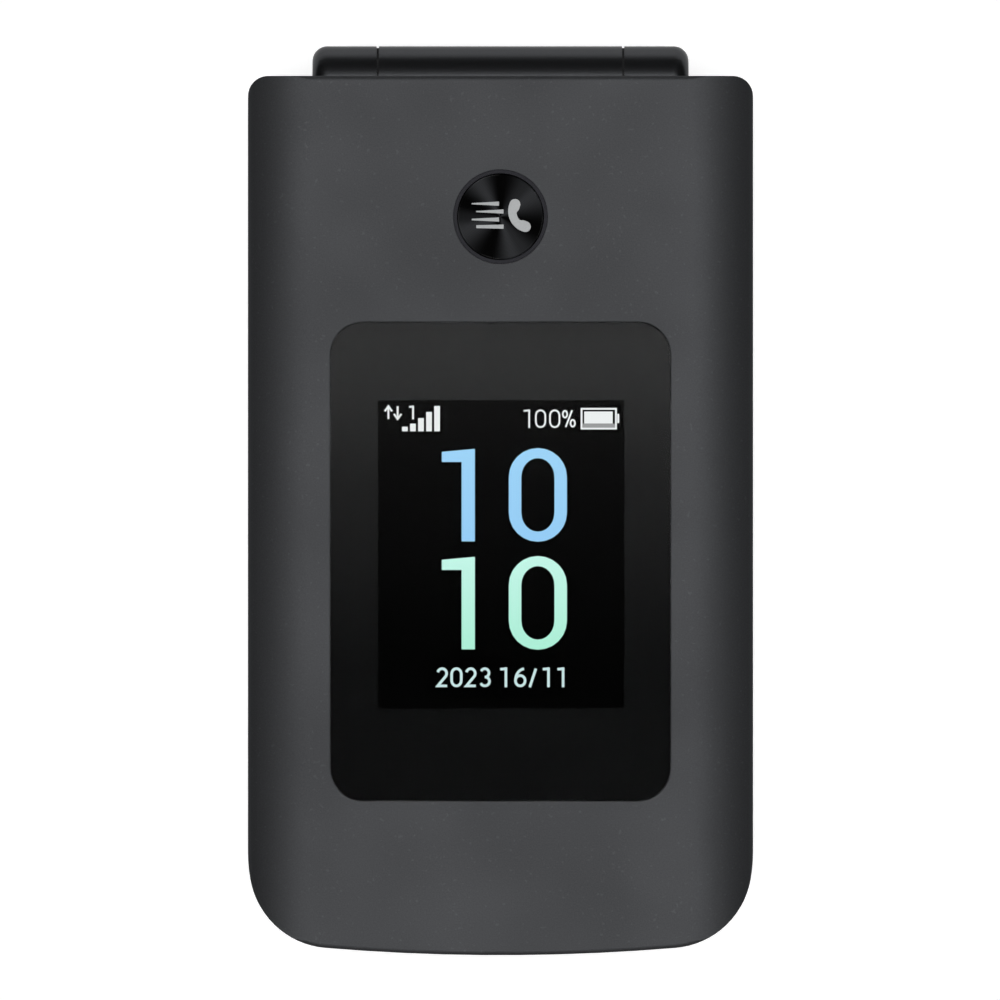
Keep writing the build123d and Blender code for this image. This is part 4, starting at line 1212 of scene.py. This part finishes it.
@dataclass
class QuickCallButton:
    """The round button above the window.

    Each row of its sign has its left end, its Y and half its height at that end.
    """

    top: float = 18.9
    sunk: float = 0.02
    proud: float = 0.03
    row_length: float = 3.1
    row_half: float = 0.24
    rows: tuple[tuple[float, float, float], ...] = (
        (-3.27, 33.73, 0.07), (-2.76, 32.84, 0.07), (-3.27, 31.93, 0.09), (-2.75, 31.12, 0.17),
    )

    def build(self) -> None:
        """Dresses the cap and its ring and prints the sign."""
        paint(Finish.SPUN, "quick_call_button")
        paint(Finish.RING, "button_trim_ring")
        span = (self.top - self.sunk, self.top + self.proud)
        made = []
        for left, y, thin in self.rows:
            right, half = left + self.row_length, self.row_half
            outline = [(left, y - thin), (right, y - half), (right, y + half), (left, y + thin)]
            made.append(plate("row", span, outline))
        made.append(handset((1.88, 32.22), 4.4, 205.0, span))
        dress(merge("button_sign", made), Finish.ICON, Body.BUTTON, "button_gloss")


@dataclass
class Keypad:
    """The keys on the base's face and their prints."""

    span: Span = (10.93, 10.98)
    ring_span: Span = (10.68, 10.73)
    column: float = 16.8
    row_top: float = 2.7
    row_pitch: float = 12.4
    side_x: float = 19.4
    soft_y: float = 31.4
    middle_y: float = 22.6
    call_y: float = 13.8
    figure_height: float = 5.2
    figure_width: float = 0.6
    sign_width: float = 0.35

    def build(self) -> None:
        """Dresses the keys and prints their signs."""
        names = ("1", "2", "3", "4", "5", "6", "7", "8", "9", "*", "0", "#")
        nodes = [f"key_{n}" for n in (*"123456789", "star", "0", "hash")]
        others = ("soft_key_left", "soft_key_right", "message_key", "camera_key")
        paint(Finish.KEY, *nodes, *others, "send_key", "end_key", "ok_key", "volume_rocker")
        paint(Finish.DARK_TRIM, "nav_ring")
        for index, (sign, node) in enumerate(zip(names, nodes)):
            x = (index % 3 - 1) * self.column
            y = self.row_top - index // 3 * self.row_pitch
            self.figure(node, sign, (x, y))
        self.side_signs()
        self.ring_signs()

    def figure(self, node: str, sign: str, centre: Point) -> None:
        """Prints one figure on its key.

        Args:
            node: The key's node.
            sign: Which figure.
            centre: The key's centre.
        """
        height, width = self.figure_height, self.figure_width
        foot = (centre[0], centre[1] - height / 2)
        name = f"{node}_figure"
        self.printed(figures(name, sign, foot, height, width, self.span, centred=True), node)

    def printed(self, piece: Piece, node: str, finish: Finish = Finish.LEGEND) -> None:
        """Finishes a print on a key's node, riding on that key's body."""
        coat(piece, finish, body_of(frame["nodes"][node])[0])

    def side_signs(self) -> None:
        """Prints the signs on the keys beside the ring."""
        x, y, width, span = self.side_x, self.middle_y, self.sign_width, self.span
        for side, node in ((-1, "soft_key_left"), (1, "soft_key_right")):
            dash = [(side * x - 1.6, self.soft_y), (side * x + 1.6, self.soft_y)]
            self.printed(merge(f"{node}_sign", [stroke(dash, 0.5, span)]), node)
        flap = [(-x - 1.9, y + 1.3), (-x, y - 0.2), (-x + 1.9, y + 1.3)]
        letter = stroke(box_path((-x, y), (3.8, 2.6)), width, span, True)
        self.printed(fuse("message_key_sign", [letter, stroke(flap, width, span)]), "message_key")
        eye = [
            stroke(box_path((x, y - 0.1), (3.8, 2.4)), width, span, True),
            stroke(oval((x, y - 0.1), (0.7, 0.7)), 0.3, span, True),
            stroke([(x - 0.7, y + 1.45), (x + 0.7, y + 1.45)], 0.4, span),
        ]
        self.printed(fuse("camera_key_sign", eye), "camera_key")
        send = handset((-x, self.call_y), 3.9, 225.0, span)
        self.printed(merge("send_key_sign", [send]), "send_key", Finish.GREEN)
        end = handset((x, self.call_y - 0.3), 3.9, 90.0, span)
        self.printed(merge("end_key_sign", [end]), "end_key", Finish.RED)

    def ring_signs(self) -> None:
        """Prints the circle on the OK key and the four arrows round it."""
        mark = stroke(oval((0.0, self.middle_y), (1.2, 1.2)), 0.4, self.span, True)
        self.printed(merge("ok_key_sign", [mark]), "ok_key")
        arrows = []
        for turn in (0, 90, 180, 270):
            c, s = math.cos(math.radians(turn)), math.sin(math.radians(turn))
            tips = ((8.6, -0.9), (9.6, 0.0), (8.6, 0.9))
            head = [(x * c - y * s, x * s + y * c + self.middle_y) for x, y in tips]
            arrows.append(stroke(head, self.sign_width, self.ring_span))
        self.printed(merge("nav_ring_signs", arrows), "nav_ring")


@dataclass
class Case:
    """The lid, the base, the hinge and what is inside them."""

    hinge: Point = (47.325, 11.0)
    knuckle_end: float = 13.85
    shaft_radius: float = 1.42
    bore_radius: float = 3.12
    collar_radius: float = 3.965
    seal_radius: float = 4.2
    surround: Point = (3.95, 1.85)
    surround_depth: float = 0.05
    lens_radius: float = 1.6
    lens_depth: float = 0.12
    lens_gap: float = 0.02
    coats: tuple[tuple[Finish, str], ...] = (
        (Finish.LID_PAINT, "lid_outer_cover"),
        (Finish.FRAME_PAINT, "lid_inner_cover base_front_cover"),
        (Finish.BASE_PLASTIC, "base_rear_cover battery_door"),
        (Finish.PANEL, "outer_display inner_display"),
        (Finish.RUBBER, "keypad_mat lid_bumpers"),
        (Finish.STEEL, "hinge_cartridge hinge_shaft lid_screws base_screws shield_cans"),
        (Finish.STEEL, "usb_connector lid_magnet vibration_motor earpiece_mesh sim_holder"),
        (Finish.STEEL, "dome_sheet"),
        (Finish.BOARD, "main_board lid_board"),
        (Finish.BATTERY, "battery"),
        (Finish.GOLD, "battery_contacts"),
        (Finish.BLACK, "earpiece loudspeaker microphone antenna_carrier camera_module"),
        (Finish.BLACK, "button_switch nav_actuator hinge_bushing"),
        (Finish.FILM, "display_flex"),
        (Finish.LENS_GLASS, "camera_window"),
    )

    def seal(self, side: int, bore: float) -> Piece:
        """A soft ring between the knuckle and an ear, turned round the hinge's axis.

        Args:
            side: -1 for the left ear and 1 for the right.
            bore: Radius of the ring's opening.

        Returns:
            The ring.
        """
        steps = (
            (0.004, bore), (0.046, bore), (0.046, self.collar_radius),
            (0.246, self.collar_radius), (0.246, self.seal_radius), (0.004, self.seal_radius),
        )
        path = [(side * (self.knuckle_end + x), self.hinge[0] + r) for x, r in steps]
        ring = line(path, self.hinge[1], True)
        centre = (0.0, self.hinge[0] * MM, self.hinge[1] * MM)
        bpy.ops.mesh.spin(steps=72, angle=2 * math.pi, center=centre, axis=(1.0, 0.0, 0.0))
        bpy.ops.mesh.select_all(action="SELECT")
        bpy.ops.mesh.remove_doubles(threshold=1e-6)
        outward(ring)
        return ring

    def lens(self) -> None:
        """Puts a printed surround and a small lens behind the camera's window."""
        low, high = (Vector(corner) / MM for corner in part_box("camera_window"))
        centre, back = ((low.x + high.x) / 2, (low.y + high.y) / 2), high.z + self.lens_gap
        rims = [oval(centre, (radius, radius)) for radius in self.surround]
        surround = plate("lens_surround", (back, back + self.surround_depth), *rims)
        dress(surround, Finish.PRINT, Body.BASE, "window_gloss")
        lens = disc("camera_lens", centre, self.lens_radius, (back, back + self.lens_depth), 0.05)
        dress(lens, Finish.LENS, Body.BASE, "window_gloss")

    def build(self) -> None:
        """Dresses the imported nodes, seals the hinge and fits the camera's lens."""
        self.lens()
        seals = [self.seal(-1, self.shaft_radius), self.seal(1, self.bore_radius)]
        dress(merge("hinge_seals", seals), Finish.RUBBER, Body.BASE, "soft_rubber")
        for finish, nodes in self.coats:
            paint(finish, *nodes.split())


@dataclass
class Studio:
    """Floor, lamps, world and camera. Lamps and screens are in metres."""

    frame_width: float = 113.8
    aim: Point = (-0.057, 0.039)
    aim_height: float = 15.0
    distance: float = 4500.0
    floor_lift: float = 0.75
    fade_stretch: Colour = (3.3, 0.75, 0.0)
    fade: Span = (0.15, 0.2)
    surround_light: float = 0.3
    lamp_power: float = 8.6
    lamp_size: float = 0.26
    lamp_place: Colour = (0.32, 0.24, 0.95)
    card_size: Point = (0.078, 0.114)
    card_height: float = 0.8
    card_reach: Span = (-42.1, 25.3)
    card_steps: tuple[Point, ...] = (
        (0.3, 0.06), (0.43, 0.15), (0.66, 0.37), (0.82, 0.73), (0.96, 1.0), (0.98, 1.0),
    )
    screen_radius: float = 0.45
    screen_height: float = 0.6
    side_screen: Point = (0.08, 0.26)
    side_screen_x: float = 0.07

    def build(self) -> None:
        """Sets up everything round the phone."""
        self.floor()
        self.world()
        self.lamps()
        self.card()
        self.screens()
        self.camera()

    def floor(self) -> None:
        """Makes the white table top under the phone."""
        alone()
        bpy.ops.mesh.primitive_plane_add(size=8.0, location=(0.0, 0.0, -0.05 * MM))
        floor = new_piece("floor")
        shader = Shader("floor_white")
        shader.tint((0.55, 0.55, 0.55), shader.noise(0.01), 0.01)
        shader.set(Roughness=0.9, Specular_IOR_Level=0.0)
        seen = shader.seen()
        lift = shader.emission(Strength=shader.spread(seen, 0.0, self.floor_lift, 0.0, 1.0))
        lit = shader.add("AddShader", {0: shader.surface.outputs["BSDF"], 1: lift})
        place = shader.moved((0.0, 0.0), self.fade_stretch)
        reach = shader.add("VectorMath", {0: place}, operation="LENGTH").outputs["Value"]
        share = shader.spread(reach, 0.0, 1.0, *self.fade)
        far = shader.emission(Strength=shader.spread(seen, 0.5, 1.0, 0.0, 1.0))
        fade = shader.add("MixShader", {"Fac": share, 1: lit.outputs["Shader"], 2: far})
        floor.data.materials.append(shader.whole(fade.outputs["Shader"]))

    def world(self) -> None:
        """Makes a white surround that lights the phone only weakly."""
        world = bpy.data.worlds.new("surround")
        bpy.context.scene.world = world
        world.use_nodes = True
        tree = Nodes(world.node_tree)
        background = tree.nodes["Background"].inputs
        tree.feed(background["Color"], (1.0, 1.0, 1.0))
        level = tree.spread(tree.seen(), self.surround_light, 1.0, 0.0, 1.0)
        tree.feed(background["Strength"], level)

    def lamps(self) -> None:
        """Hangs four soft lamps round the middle."""
        x, y, z = self.lamp_place
        for index in range(4):
            turn = math.radians(index * 90)
            place = Vector((math.cos(turn) * x, math.sin(turn) * y, z))
            bpy.ops.object.light_add(type="AREA", location=place)
            lamp = bpy.context.object
            lamp.name = f"soft_lamp_{index + 1}"
            lamp.data.shape = "DISK"
            lamp.data.size = self.lamp_size
            lamp.data.energy = self.lamp_power / 4
            lamp.rotation_euler = place.to_track_quat("Z", "Y").to_euler()
            lamp.visible_camera = False

    def card(self) -> Piece:
        """Hangs the shaded card that the window mirrors.

        Returns:
            The card.
        """
        alone()
        bpy.ops.mesh.primitive_plane_add(size=1.0, location=(0.0, 0.0, self.card_height))
        bpy.context.object.scale = (*self.card_size, 1.0)
        card = new_piece("shaded_card")
        shader = Shader("card_light")
        grey = shader.ramp(shader.along(*self.card_reach), self.card_steps, (0.06, 0.0), "LINEAR")
        card.data.materials.append(shader.whole(shader.emission(Color=grey)))
        card.visible_camera = False
        return card

    def screens(self) -> Piece:
        """Stands dark cloth round the phone and beside it.

        Returns:
            The screens.
        """
        alone()
        bpy.ops.mesh.primitive_cylinder_add(
            vertices=48,
            radius=self.screen_radius,
            depth=self.screen_height,
            location=(0.0, 0.0, self.screen_height / 2),
            end_fill_type="NOTHING",
        )
        made = [new_piece("round_screen")]
        for side in (-1, 1):
            alone()
            bpy.ops.mesh.primitive_plane_add(
                size=1.0,
                location=(side * self.side_screen_x, 0.0, self.side_screen[0] / 2),
                rotation=(0.0, math.pi / 2, 0.0),
            )
            bpy.context.object.scale = (*self.side_screen, 1.0)
            made.append(new_piece("side_screen"))
        screens = merge("dark_screens", made)
        cloth = Shader("screen_cloth")
        cloth.tint((0.01, 0.01, 0.01), cloth.noise(0.05), 0.2)
        cloth.set(Roughness=1.0, Specular_IOR_Level=0.0)
        screens.data.materials.append(cloth.material)
        screens.visible_camera = False
        return screens

    def camera(self) -> None:
        """Makes a camera that looks straight down on the closed phone."""
        data = bpy.data.cameras.new("camera")
        camera = bpy.data.objects.new("camera", data)
        bpy.context.scene.collection.objects.link(camera)
        camera.location = Vector((*self.aim, self.aim_height + self.distance)) * MM
        data.sensor_width = 36.0
        data.lens = data.sensor_width * self.distance / self.frame_width
        data.clip_end = 100.0
        bpy.context.scene.camera = camera


def main() -> None:
    """Builds the phone's looks and the studio."""
    logging.basicConfig(level=logging.INFO, format="%(message)s")
    bpy.context.scene.view_settings.view_transform = "Standard"
    for assembly in (Studio(), Case(), OuterWindow(), QuickCallButton(), InnerScreen(), Keypad()):
        log.info("making %s", type(assembly).__name__)
        assembly.build()
    alone()


if __name__ == "__main__":
    main()
